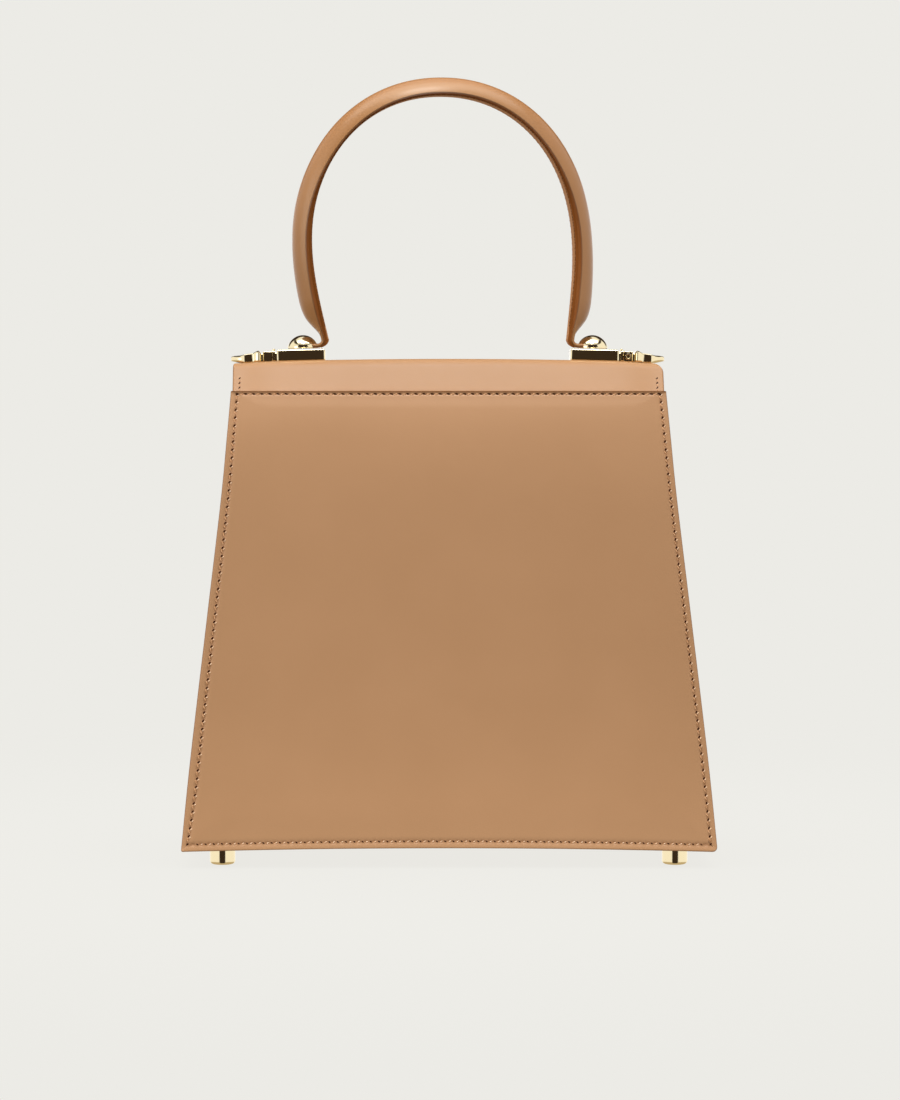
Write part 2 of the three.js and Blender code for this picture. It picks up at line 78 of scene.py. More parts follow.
def smoothLine(points, steps=16):  # a line through all the points
    run = [2 * points[0] - points[1], *points, 2 * points[-1] - points[-2]]
    line = []
    for before, start, end, after in zip(run, run[1:], run[2:], run[3:]):
        handles = start + (end - before) / 6, end - (after - start) / 6
        line += interpolate_bezier(start, *handles, end, steps)[:-1]
    return line + [points[-1]]


# The panels' corner line: half width, half depth and height
cornerLine = np.array(smoothLine([
    Vector((
        mix(bag["bottomWidth"], bag["topWidth"], narrow) / 2,
        mix(bag["bottomDepth"], bag["topDepth"], inset) / 2,
        mix(bag["panelBottom"], bag["panelTop"], height),
    ))
    for height, inset, narrow in panelLean
]))
cornerSlope = np.gradient(cornerLine[:, 1], cornerLine[:, 2])


def halfWidthAt(z):
    return float(np.interp(z, cornerLine[:, 2], cornerLine[:, 0]))


def besidePanel(z, out):  # half depth and height of a point off the panels' outside
    slope = float(np.interp(z, cornerLine[:, 2], cornerSlope))
    length = math.hypot(1, slope)
    depth = float(np.interp(z, cornerLine[:, 2], cornerLine[:, 1]))
    return depth + out / length, z - out * slope / length


def cornerCut(radius, fromEnd):  # how far a rounded corner cuts in
    into = min(max(0, radius - fromEnd), radius)
    return radius - math.sqrt(radius ** 2 - into ** 2)


# Mesh helpers


def shapedGrid(columns, rows, place, closed=False):  # a grid whose points go where place says
    bm = bmesh.new()
    bmesh.ops.create_grid(bm, x_segments=len(columns) - 1, y_segments=len(rows) - 1, size=1)
    bm.verts.ensure_lookup_table()
    shades = {name: bm.verts.layers.float.new(name) for name in ("edge", "seam", "stitch")}
    for index, vert in enumerate(bm.verts):
        row, column = divmod(index, len(columns))
        placed = place(columns[column], rows[row])
        vert.co = placed[0]
        for name, value in placed[1].items():
            vert[shades[name]] = value
    if closed:
        bmesh.ops.remove_doubles(bm, verts=bm.verts, dist=1e-4)
    return bm


def finishPiece(name, bm, material, nodes=(), modifiers=(), smooth=40):
    bmesh.ops.scale(bm, vec=(0.001, 0.001, 0.001), verts=bm.verts)
    mesh = bpy.data.meshes.new(name)
    bm.to_mesh(mesh)
    bm.free()
    mesh.shade_smooth()
    mesh.set_sharp_from_angle(angle=math.radians(smooth))
    materials = material if isinstance(material, (list, tuple)) else [material]
    for each in materials:
        mesh.materials.append(each)
    piece = bpy.data.objects.new(name, mesh)
    bpy.context.scene.collection.objects.link(piece)
    for kind, settings in modifiers:
        modifier = piece.modifiers.new(kind.title(), kind)
        for key, value in settings.items():
            setattr(modifier, key, value)
    if nodes:
        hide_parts(*nodes)
    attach(piece, "root")
    return piece


def bothFaces(columns):  # a board's columns, over its outer face and back over its inner one
    return [(column, 1) for column in columns] + [(column, -1) for column in reversed(columns)]


def faceTowards(bm, outward):  # turns an open sheet so that its faces look outward
    bm.normal_update()
    total = sum((face.normal * face.calc_area() for face in bm.faces), Vector())
    if total.dot(Vector(outward)) < 0:
        bmesh.ops.reverse_faces(bm, faces=bm.faces)


def wall(thickness):
    settings = {"thickness": thickness / 1000, "offset": -1, "use_even_offset": True}
    return ("SOLIDIFY", settings)


# Materials


def hexColour(text):
    channels = [int(text[i:i + 2], 16) / 255 for i in (1, 3, 5)]
    return [c / 12.92 if c <= 0.04045 else ((c + 0.055) / 1.055) ** 2.4 for c in channels] + [1]


def addNode(tree, kind, inputs, **settings):
    node = tree.nodes.new(kind)
    for name, value in settings.items():
        setattr(node, name, value)
    for name, value in inputs.items():
        if isinstance(value, bpy.types.NodeSocket):
            tree.links.new(value, node.inputs[name])
        else:
            node.inputs[name].default_value = value
    return node


def newMaterial(name):
    material = bpy.data.materials.new(name)
    material.use_nodes = True
    tree = material.node_tree
    tree.nodes.clear()
    return material, tree


def perMillimetre(size):  # texture scale on Object coordinates for a feature of that size
    return 1000 / size


# Boxed calf, drum-dyed and satin finished: an even tan with faint clouds, a broad soft highlight,
# pores too fine to count, darker edge paint, and seams darkened: burnish and painted shade
# in their grooves, painted shade under the handle's strap
def satinCalf(name, colours, roughness=0.42, coat=0.12, gloss=0.22, grain=0.5, wax="#ffffff"):
    material, tree = newMaterial(name)
    place = addNode(tree, "ShaderNodeTexCoord", {}).outputs["Object"]
    clouds = addNode(tree, "ShaderNodeTexNoise",
                     {"Vector": place, "Scale": perMillimetre(38), "Detail": 3, "Roughness": 0.5})
    hide = addNode(tree, "ShaderNodeMix",
                   {"Factor": clouds.outputs["Fac"], "A": hexColour(colours["dark"]),
                    "B": hexColour(colours["light"])}, data_type="RGBA")
    # the seam attribute: burnish with painted shade in seam grooves, painted shade under the handle's strap
    seam = addNode(tree, "ShaderNodeAttribute", {}, attribute_name="seam")
    burnishAndShade = addNode(tree, "ShaderNodeMix",
                        {"Factor": seam.outputs["Fac"], "A": hide.outputs["Result"],
                         "B": hexColour(colours["seam"])}, data_type="RGBA")
    # puckers: the leather swells between the needle holes
    stitch = addNode(tree, "ShaderNodeAttribute", {}, attribute_name="stitch")
    turn = addNode(tree, "ShaderNodeMath", {0: stitch.outputs["Fac"], 1: 2 * math.pi}, operation="MULTIPLY")
    wave = addNode(tree, "ShaderNodeMath", {0: turn.outputs[0]}, operation="COSINE")
    pucker = addNode(tree, "ShaderNodeMath", {0: wave.outputs[0], 1: seam.outputs["Fac"]},
                     operation="MULTIPLY")
    edge = addNode(tree, "ShaderNodeAttribute", {}, attribute_name="edge")
    painted = addNode(tree, "ShaderNodeMix",
                      {"Factor": edge.outputs["Fac"], "A": burnishAndShade.outputs["Result"],
                       "B": hexColour(colours["edge"])}, data_type="RGBA")
    pores = addNode(tree, "ShaderNodeTexVoronoi",
                    {"Vector": place, "Scale": perMillimetre(grain), "Randomness": 1})
    creases = addNode(tree, "ShaderNodeTexNoise",
                      {"Vector": place, "Scale": perMillimetre(2.6), "Detail": 4, "Roughness": 0.6})
    poreBump = addNode(tree, "ShaderNodeBump",
                       {"Height": pores.outputs["Distance"], "Strength": 0.35, "Distance": 0.00003})
    puckerBump = addNode(tree, "ShaderNodeBump",
                         {"Height": pucker.outputs[0], "Strength": 1, "Distance": -0.0006,
                          "Normal": poreBump.outputs["Normal"]})
    bump = addNode(tree, "ShaderNodeBump",
                   {"Height": creases.outputs["Fac"], "Strength": 0.3, "Distance": 0.00009,
                    "Normal": puckerBump.outputs["Normal"]})
    polish = addNode(tree, "ShaderNodeMapRange",
                     {"Value": creases.outputs["Fac"], "From Min": 0.3, "From Max": 0.7,
                      "To Min": roughness - 0.035, "To Max": roughness + 0.035})
    shader = addNode(tree, "ShaderNodeBsdfPrincipled",
                     {"Base Color": painted.outputs["Result"], "Roughness": polish.outputs["Result"],
                      "IOR": 1.5, "Specular IOR Level": gloss, "Specular Tint": hexColour(wax),
                      "Coat Weight": coat,
                      "Coat Roughness": 0.25,
                      "Normal": bump.outputs["Normal"]})
    addNode(tree, "ShaderNodeOutputMaterial", {"Surface": shader.outputs["BSDF"]})
    return material


# Zinc casting, polished and plated pale gold: a warm mirror, hardly softened by polishing haze
def plateGold(name, colour, roughness):
    material, tree = newMaterial(name)
    place = addNode(tree, "ShaderNodeTexCoord", {}).outputs["Object"]
    haze = addNode(tree, "ShaderNodeTexNoise",
                   {"Vector": place, "Scale": perMillimetre(3), "Detail": 5, "Roughness": 0.6})
    polish = addNode(tree, "ShaderNodeMapRange",
                     {"Value": haze.outputs["Fac"], "From Min": 0.3, "From Max": 0.7,
                      "To Min": roughness - 0.02, "To Max": roughness + 0.03})
    ripple = addNode(tree, "ShaderNodeBump",
                     {"Height": haze.outputs["Fac"], "Strength": 0.2, "Distance": 0.00001})
    shader = addNode(tree, "ShaderNodeBsdfPrincipled",
                     {"Base Color": hexColour(colour), "Metallic": 1,
                      "Roughness": polish.outputs["Result"], "Normal": ripple.outputs["Normal"]})
    addNode(tree, "ShaderNodeOutputMaterial", {"Surface": shader.outputs["BSDF"]})
    return material


# Bonded polyester thread, waxed: fine slanting plies, striped in a painted shade colour and a painted
# highlight colour
def waxedThread(name, colours):
    material, tree = newMaterial(name)
    place = addNode(tree, "ShaderNodeTexCoord", {}).outputs["Object"]
    pliesAndPaintedLight = addNode(tree, "ShaderNodeTexWave",
                    {"Vector": place, "Scale": perMillimetre(2.2), "Distortion": 1.5},
                    bands_direction="DIAGONAL")
    colour = addNode(tree, "ShaderNodeMix",
                     {"Factor": pliesAndPaintedLight.outputs["Fac"], "A": hexColour(colours["shade"]),
                      "B": hexColour(colours["gleam"])}, data_type="RGBA")
    bump = addNode(tree, "ShaderNodeBump",
                   {"Height": pliesAndPaintedLight.outputs["Fac"], "Strength": 0.5, "Distance": 0.00006})
    shader = addNode(tree, "ShaderNodeBsdfPrincipled",
                     {"Base Color": colour.outputs["Result"], "Roughness": 0.6,
                      "Specular IOR Level": 0.25, "Normal": bump.outputs["Normal"]})
    addNode(tree, "ShaderNodeOutputMaterial", {"Surface": shader.outputs["BSDF"]})
    return material


# Needle hole as painted shade: a dark matte colour, mottled, that gives no highlight
def needleShade(name, colour):
    material, tree = newMaterial(name)
    place = addNode(tree, "ShaderNodeTexCoord", {}).outputs["Object"]
    holeShadeMottle = addNode(tree, "ShaderNodeTexNoise", {"Vector": place, "Scale": perMillimetre(1)})
    tone = addNode(tree, "ShaderNodeMix",
                   {"Factor": holeShadeMottle.outputs["Fac"], "A": hexColour(colour),
                    "B": hexColour("#4a2410")}, data_type="RGBA")
    shader = addNode(tree, "ShaderNodeBsdfPrincipled",
                     {"Base Color": tone.outputs["Result"], "Roughness": 0.9,
                      "Specular IOR Level": 0.1})
    addNode(tree, "ShaderNodeOutputMaterial", {"Surface": shader.outputs["BSDF"]})
    return material


# The seam colour is burnish with painted shade in the seam grooves; the edge colour is edge paint
panelCalf = satinCalf("satin calf, panels", {
    "dark": "#b4875f", "light": "#bd8f67", "seam": "#8f5c34", "edge": "#8a5a32"})
flapCalf = satinCalf("satin calf, flap", {
    "dark": "#af8156", "light": "#b7895e", "seam": "#8f5c34", "edge": "#8a5a32"}, roughness=0.38)
# the handle's seam colour is painted shade on the strap's lip and underside
handleCalf = satinCalf("satin calf, handle", {
    "dark": "#a16d3f", "light": "#a97445", "seam": "#7d4413", "edge": "#7d4413"},
    roughness=0.4, coat=0.5, gloss=0.45, wax="#fff0c4")
# the strip's seam colour is painted shade in its stitch grooves and on the strap's underside faces
stripCalf = satinCalf("smooth calf, handle strip", {
    "dark": "#bb8558", "light": "#c28d60", "seam": "#8b5224", "edge": "#8a4f1d"},
    roughness=0.75, coat=0, gloss=0.12)
baseCalf = satinCalf("satin calf, base", {
    "dark": "#a97b55", "light": "#b4865e", "seam": "#8f6039", "edge": "#7c4f2b"})
paleGold = plateGold("polished pale gold plate", "#ecdcb4", 0.09)
tanThread = waxedThread("waxed tan thread", {"shade": "#b98559", "gleam": "#dcab7f"})
# pale thread for the painted glints beside the stitches
threadGlint = waxedThread("waxed tan thread, painted glint", {"shade": "#edc49c", "gleam": "#fadcbc"})
brownThread = waxedThread("waxed brown thread", {"shade": "#6f4118", "gleam": "#8f5a2c"})
# dark colour for the painted shade in needle holes and under thread loops
holeShade = needleShade("needle hole", "#2a1206")
print("materials made")


# Seams: a row of needle holes, dark beads of painted shade, with a thread lying from each to the next

seam = {
    "pitch": 3.4,
    "inset": 2.9,  # from an edge to its seam
    "topInset": 1.3,  # the same along the back panel's top
    "groove": 0.4,  # depth that the thread pulls the leather in
    "grooveWidth": 1.0,
    "roll": 0.5,  # radius of a turned edge
    "cornerLeft": 0.9,  # radii of the panels' lower corners
    "cornerRight": 2.2,
    "pad": 0.4,  # how far the leather swells inside its seam
    "padWidth": 14,
    "sideSwell": -0.35,  # how far it swells towards an upright edge
    "endSwell": 0.35,  # and towards the top and bottom ones
    "holeLength": 1.5,
    "holeWidth": 0.72,
    "holeSlant": 42,
    "threadShare": 0.56,  # of the pitch
    "threadWidth": 0.6,
    "threadSlant": 22,
    "threadHeight": 0.12,
    # painted highlights (pale beads) and painted shadows (hole beads) beside each stitch: kind, place ahead of
    # the hole, aside, slant, length, width
    "sidePaintedLight": [("pale", 0.5, 0.56, -42, 1.4, 0.38)],
    "topPaintedLight": [("pale", 0.95, -1.25, -30, 1.5, 0.42), ("hole", 1.95, -0.98, 4, 1.9, 0.34)],
    "topRaised": 0.12,
    "bottomPaintedLight": [("pale", 1.75, -0.05, 32, 1.5, 0.46)],
}
# The back's left seam wanders: shares of the height with its inset
leftInset = np.array([(0.0, 2.2), (0.06, 3.0), (0.14, 3.7), (0.5, 3.3), (1.0, 2.7)])


def turnedEdge(distance, thickness, face=1, sewn=1, stitch=0, swell=0):
    # relief and shades of a board's outer or inner face at a distance from its turned edge
    into = max(0, 1 - distance / seam["roll"])
    turned = 1 - math.sqrt(max(0, 1 - into * into))
    groove = math.exp(-((distance - seam["inset"]) / seam["grooveWidth"]) ** 2) * sewn
    pad = seam["pad"] * smoothShare(distance, seam["inset"], seam["inset"] + seam["padWidth"])
    swell *= sewn * max(0, 1 - distance / seam["inset"])
    height = pad + swell - seam["groove"] * groove if face > 0 else -thickness
    # the seam shade is burnish with painted shade in the groove the thread pulls in
    shades = {"edge": 1 - smoothShare(distance, 0.1, 0.45), "seam": 0.42 * groove ** 3, "stitch": stitch}
    return mix(height, -thickness / 2, turned), shades


def beadShape(segments, rings):  # one bead, made once and repeated along a seam
    bm = bmesh.new()
    bmesh.ops.create_uvsphere(bm, u_segments=segments, v_segments=rings, radius=0.5)
    points = np.array([vert.co for vert in bm.verts])
    faces = [[vert.index for vert in face.verts] for face in bm.faces]
    bm.free()
    return points, faces


# hole beads are painted shade, pale beads are painted highlights
beadShapes = {"thread": beadShape(8, 6), "hole": beadShape(8, 4), "pale": beadShape(8, 4)}


def sewAlong(beads, route, pitch, slantSign=1, size=1.0, pliesAndPaintedLight=(), raised=0):
    # route: pairs of a point on the leather and the way out of it
    points = np.array([tuple(point) for point, _ in route])
    outs = np.array([tuple(out) for _, out in route])
    lengths = np.concatenate([[0], np.cumsum(np.linalg.norm(np.diff(points, axis=0), axis=1))])
    count = max(1, round(lengths[-1] / pitch))
    step = lengths[-1] / count

    def along(distance, values):
        return Vector([float(np.interp(distance, lengths, values[:, k])) for k in range(3)])

    def bead(distance, lift, slant, sizes, aside=0):
        ahead = (along(distance + 0.2, points) - along(distance - 0.2, points)).normalized()
        out = along(distance, outs).normalized()
        turn = Matrix((ahead, out.cross(ahead), out)).transposed()
        spot = along(distance, points) + out * lift + turn @ Vector((0, aside, 0))
        turn = turn @ Matrix.Rotation(math.radians(slant), 3, "Z") @ Matrix.Diagonal(sizes)
        return spot, turn

    for i in range(count + 1):
        # dark hole beads: painted shade in each needle hole
        holeSize = (seam["holeLength"] * size, seam["holeWidth"] * size, 0.2)
        beads["hole"].append(bead(i * step, 0.03 + raised, slantSign * seam["holeSlant"], holeSize))
        if i < count:
            threadSize = (step * seam["threadShare"], seam["threadWidth"] * size, 0.6 * size)
            lift = seam["threadHeight"] * size - 0.1 + raised
            slant = -slantSign * seam["threadSlant"]
            aside = slantSign * 0.18 * size
            beads["thread"].append(bead((i + 0.46) * step, lift, slant, threadSize, aside))
            # pale beads: painted highlights where the thread turns into a hole; hole beads here: painted
            # shadows under the thread loops
            for kind, ahead, aside, slant, long, wide in pliesAndPaintedLight:
                beads[kind].append(bead(i * step + ahead, lift + 0.04, slant, (long, wide, 0.5), aside))


def sewnPiece(name, beads, thread=tanThread):  # a seam's threads, painted-shade needle holes and painted glints as one piece
    points, faces, slots = [], [], []
    for slot, (kind, (shape, shapeFaces)) in enumerate(beadShapes.items()):
        for place, turn in beads[kind]:
            first = len(points)
            points += [Vector(point) for point in shape @ np.array(turn).T + np.array(place)]
            faces += [[first + index for index in face] for face in shapeFaces]
            slots += [slot] * len(shapeFaces)
    mesh = bpy.data.meshes.new(name)
    mesh.from_pydata(points, [], faces)
    mesh.polygons.foreach_set("material_index", slots)
    bm = bmesh.new()
    bm.from_mesh(mesh)
    bpy.data.meshes.remove(mesh)
    return finishPiece(name, bm, [thread, holeShade, threadGlint], smooth=180)


# Panels


def edgeStations(zone, middle):
    # shares of the half size with the inset from the nearest edge, close together by the edges
    near = [0, 0.02, 0.08, 0.2, 0.35, 0.55, 0.85, 1.2, 1.6, 2.0, 2.3, 2.6, 2.9, 3.2, 3.5, 3.9, 4.4,
            4.9, 5.5, 6.2, 7, 7.8, 8.6, 9.4, 10.4]
    near = [inset for inset in near if inset < zone] + [zone]
    inner = [(share, abs(share) * zone) for share in np.linspace(-1, 1, middle + 1)[1:-1]]
    return [(-1, inset) for inset in near] + inner + [(1, inset) for inset in reversed(near)]


def stationAt(station, half):
    share, inset = station
    return share * half - math.copysign(inset, share)


def atEdge(station):
    return abs(station[0]) == 1 and station[1] == 0


def panelHeights(x, top):  # bottom and top of a panel at a distance from its middle
    share = x / halfWidthAt(bag["panelBottom"])
    return bag["panelBottom"] + bag["bottomRise"] * (1 - share ** 2), top


def sideInset(x, z):  # from a panel's side to its seam
    share = (z - bag["panelBottom"]) / (bag["panelTop"] - bag["panelBottom"])
    return float(np.interp(share, leftInset[:, 0], leftInset[:, 1])) if x < 0 else seam["inset"] - 0.2


def panelSpot(side, x, z, top, face=1, onEdge=False):
    bottom, _ = panelHeights(x, top)
    toTop = (top - z) * seam["inset"] / seam["topInset"]
    toSide = (halfWidthAt(z) - abs(x)) * seam["inset"] / sideInset(x, z)
    toBottom = z - bottom
    radius = seam["cornerRight"] if x > 0 else seam["cornerLeft"]
    if toSide < radius and toBottom < radius:
        distance = radius - math.hypot(radius - toSide, radius - toBottom)
    else:
        distance = min(toSide, toBottom, toTop)
    along = z - bottom if toSide < min(toBottom, toTop) else x
    distance = 0 if onEdge else max(0, distance)
    upright = smoothShare(min(toBottom, toTop) - toSide, -1, 1)
    swell = mix(seam["endSwell"], seam["sideSwell"], upright)
    height, shades = turnedEdge(
        distance, bag["panelThickness"], face, stitch=along / seam["pitch"], swell=swell)
    # darker towards the top edge: the edge colour is mixed in over the top 0.9 mm
    shades["edge"] = max(shades["edge"], 0.9 - 0.9 * smoothShare(top - z, 0.3, 0.9))
    depth, level = besidePanel(z, height)
    return Vector((x, side * depth, level)), shades


def panelGrid(side, top):
    def place(spot, row):
        column, face = spot
        bottom, _ = panelHeights(0, top)
        guess = (top + bottom) / 2 + stationAt(row, (top - bottom) / 2)
        x = stationAt(column, halfWidthAt(guess))
        bottom, _ = panelHeights(x, top)
        z = (top + bottom) / 2 + stationAt(row, (top - bottom) / 2)
        radius = seam["cornerRight"] if x > 0 else seam["cornerLeft"]
        scale = sideInset(x, z) / seam["inset"]
        column = (column[0], column[1] * mix(scale, 1, column[1] / 12))
        x = stationAt(column, halfWidthAt(z) - cornerCut(radius, z - bottom))
        return panelSpot(side, x, z, top, face, atEdge(column) or atEdge(row))

    bm = shapedGrid(bothFaces(edgeStations(12, 44)), edgeStations(12, 40), place, closed=True)
    bmesh.ops.recalc_face_normals(bm, faces=bm.faces)
    return bm


def routeOn(spot, pairs):  # places on the leather with the way out, from pairs of x and z
    route = []
    for x, z in pairs:
        point = spot(x, z)[0]
        across = spot(x + 0.5, z)[0] - spot(x - 0.5, z)[0]
        up = spot(x, z + 0.5)[0] - spot(x, z - 0.5)[0]
        out = across.cross(up).normalized()
        if out.y * point.y < 0:
            out = -out
        route.append((point, out))
    return route


def panelSeams(name, side, top):
    beads = {kind: [] for kind in beadShapes}
    inset = seam["inset"]

    def spot(x, z):
        return panelSpot(side, x, z, top)

    low = bag["panelBottom"] + inset
    heights = np.linspace(top - seam["topInset"], low + 0.2, 60)
    for sign in (-1, 1):
        pairs = [(sign * (halfWidthAt(z) - sideInset(sign, z)), z) for z in heights]
        sewAlong(beads, routeOn(spot, pairs), seam["pitch"], slantSign=side,
                 pliesAndPaintedLight=seam["sidePaintedLight"] if side < 0 else ())
    edge = halfWidthAt(low) - inset
    pairs = [(x, panelHeights(x, top)[0] + inset) for x in np.linspace(-edge, edge, 60)]
    sewAlong(beads, routeOn(spot, pairs[1:-1]), seam["pitch"], slantSign=side, size=0.85,
             pliesAndPaintedLight=seam["bottomPaintedLight"] if side < 0 else ())
    if side < 0:
        edge = halfWidthAt(top) - inset
        pairs = [(x, top - seam["topInset"]) for x in np.linspace(-edge, edge, 60)]
        sewAlong(beads, routeOn(spot, pairs), seam["pitch"], slantSign=side, size=1.3,
                 pliesAndPaintedLight=seam["topPaintedLight"], raised=seam["topRaised"])
    return sewnPiece(name, beads)


frontTop = bag["panelTop"] - bag["frontDrop"]
for name, side, top in (("back_panel", -1, bag["panelTop"]), ("front_panel", 1, frontTop)):
    finishPiece(name + "_leather", panelGrid(side, top), panelCalf, [name], smooth=60)
    panelSeams(name + "_stitches", side, top)
print("panels made")


# Flap

flap = {
    "thickness": 2.2,
    "inset": 0.55,
    "overlap": 8,
    "reach": 104,
    "ridgeTop": bag["panelTop"] + 12.7,
    "ridgeHalfDepth": 9.4,
    "ridgeRound": 2.6,
    "ridgeSag": 1.5,
    "cornerLeft": 0.3,  # of the outline at the ridge
    "cornerRight": 3.8,
    "cornerLow": 12,
    "seamRows": 3,  # stitches that run on up the back, past the panel's top seam
}


def flapSection():  # depth and height along the outside, from under the back panel to the lower edge
    under = -bag["panelThickness"] - bag["gap"]
    over = bag["gap"] + flap["thickness"]
    back = [Vector((-depth, z)) for depth, z in
            (besidePanel(bag["panelTop"] - drop, under) for drop in (flap["overlap"], flap["overlap"] / 2, 0))]
    end = bag["panelTop"] - flap["reach"]
    front = [Vector(besidePanel(z, over)) for z in np.linspace(frontTop, end, 13)]
    ridge = [Vector((sign * flap["ridgeHalfDepth"], flap["ridgeTop"])) for sign in (-1, 1)]
    line = smoothLine(back, 4)
    for before, corner, after in ((back[-1], ridge[0], ridge[1]), (ridge[0], ridge[1], front[0])):
        start = corner + (before - corner).normalized() * flap["ridgeRound"]
        finish = corner + (after - corner).normalized() * flap["ridgeRound"]
        for share in np.linspace(0, 1, 9):
            line.append(mix(mix(start, corner, share), mix(corner, finish, share), share))
    return np.array(line + smoothLine(front, 4))


flapLine = flapSection()
flapLengths = np.concatenate([[0], np.cumsum(np.linalg.norm(np.diff(flapLine, axis=0), axis=1))])
flapFrontLength = flapLengths[-1]
ridgeStart = float(flapLengths[np.argmax(flapLine[:, 1] > flap["ridgeTop"] - 0.01)])


def ridgeDrop(x, z):
    share = min(max((z - frontTop) / (flap["ridgeTop"] - frontTop), 0), 1)
    return flap["ridgeSag"] * share * (2 * x / bag["topWidth"]) ** 2


def flapHalfWidth(sign, length):
    depth, z = [float(np.interp(length, flapLengths, flapLine[:, k])) for k in range(2)]
    half = halfWidthAt(min(z, bag["panelTop"])) - flap["inset"]
    corner = flap["cornerRight"] if sign > 0 else flap["cornerLeft"]
    return half, cornerCut(corner, max(0, flap["ridgeTop"] - z))


def flapSpot(x, length, face=1, onEdge=False):
    length = min(max(length, 0), flapFrontLength)
    near = np.clip([length - 0.3, length + 0.3], 0, flapFrontLength)
    depth, z = [float(np.interp(length, flapLengths, flapLine[:, k])) for k in range(2)]
    step = [float(np.subtract(*[np.interp(n, flapLengths, flapLine[:, k]) for n in near[::-1]]))
            for k in range(2)]
    size = math.hypot(*step)
    half, ridgeCut = flapHalfWidth(x, length)
    toSide = half - abs(x)
    toEnd = flapFrontLength - length
    radius = flap["cornerLow"]
    if toSide < radius and toEnd < radius:
        distance = radius - math.hypot(radius - toSide, radius - toEnd)
    else:
        distance = min(toSide, toEnd)
    distance = 0 if onEdge else max(0, min(distance, toSide - ridgeCut))
    sewn = smoothShare(length, ridgeStart + 24, ridgeStart + 30)
    along = length if toSide < toEnd else x
    height, shades = turnedEdge(distance, flap["thickness"], face, sewn, along / seam["pitch"])
    outY, outZ = -step[1] / size, step[0] / size
    place = Vector((x, depth + outY * height, z + outZ * height - ridgeDrop(x, z)))
    return place, shades


def flapGrid():
    bends = np.linspace(0, ridgeStart + 34, 60)
    far = sorted({flapFrontLength - inset for _, inset in edgeStations(12, 2)})
    middle = np.linspace(bends[-1], far[0], 26)
    rows = sorted({float(v) for v in (*bends, *middle[1:-1], *far)})

    def place(spot, length):
        column, face = spot
        half, ridgeCut = flapHalfWidth(column[0], length)
        lowCut = cornerCut(flap["cornerLow"], flapFrontLength - length)
        onEdge = atEdge(column) or length in (rows[0], rows[-1])
        return flapSpot(stationAt(column, half - ridgeCut - lowCut), length, face, onEdge)

    bm = shapedGrid(bothFaces(edgeStations(12, 40)), rows, place, closed=True)
    bmesh.ops.recalc_face_normals(bm, faces=bm.faces)
    return bm


def flapRoute(pairs):
    route = []
    for x, length in pairs:
        point = flapSpot(x, length)[0]
        across = flapSpot(x + 0.5, length)[0] - flapSpot(x - 0.5, length)[0]
        down = flapSpot(x, length + 0.5)[0] - flapSpot(x, length - 0.5)[0]
        route.append((point, across.cross(down).normalized()))
    return route


def flapSeams():
    beads = {kind: [] for kind in beadShapes}
    inset = seam["inset"]
    radius = flap["cornerLow"] - inset
    top = ridgeStart + 27
    down = np.linspace(top, flapFrontLength - flap["cornerLow"], 40)
    pairs = [(-(flapHalfWidth(-1, l)[0] - inset), float(l)) for l in down]
    turn = np.linspace(0, math.pi / 2, 12)[1:]
    corner = []
    for angle in turn:
        length = flapFrontLength - flap["cornerLow"] + radius * math.sin(angle)
        half = flapHalfWidth(1, length)[0]
        corner.append((half - flap["cornerLow"] + radius * math.cos(angle), length))
    bottom = [(float(x), flapFrontLength - inset) for x in np.linspace(-1, 1, 40)[1:-1] * corner[-1][0]]
    pairs += [(-x, l) for x, l in corner] + bottom + corner[::-1]
    pairs += [(flapHalfWidth(1, l)[0] - inset, float(l)) for l in down[::-1]]
    sewAlong(beads, flapRoute(pairs), seam["pitch"], slantSign=-1)
    backStart = flap["overlap"] + 1.2
    for sign in (-1, 1):
        reach = flap["seamRows"] * 0.72 * seam["pitch"]
        pairs = [(sign * (flapHalfWidth(sign, l)[0] - inset), float(l))
                 for l in np.linspace(backStart, backStart + reach, 8)]
        sewAlong(beads, flapRoute(pairs), 0.72 * seam["pitch"], slantSign=-1, size=0.8)
    return sewnPiece("flap_stitches", beads)


finishPiece("flap_leather", flapGrid(), flapCalf, ["flap"], smooth=60)
flapSeams()
print("flap made")


# Gussets and base

gusset = {
    "thickness": 1.8,
    "inset": 1.4,
    "flange": 8,
    "bow": 6,
    "peak": 10,
    "baseTop": bag["panelBottom"] + 2 + 2.6,
    "hem": 3,  # from the top edge to its seam
}


def gussetSpot(side, across, z, rise):
    # across: -1 to 1 over the web, beyond that along the flanges
    depth, level = besidePanel(z, -bag["panelThickness"] - 0.03)
    edge = halfWidthAt(level) - gusset["inset"]
    web = min(max(across, -1), 1)
    middle = math.cos(web * math.pi / 2) ** 2 * rise
    inward = gusset["bow"] * middle + max(0, abs(across) - 1) * gusset["flange"]
    fold = 0.5 * math.sin(web * 9) * rise ** 3 * (1 - web * web)
    return Vector((side * (edge - inward - fold), web * depth, level + gusset["peak"] * middle * rise))


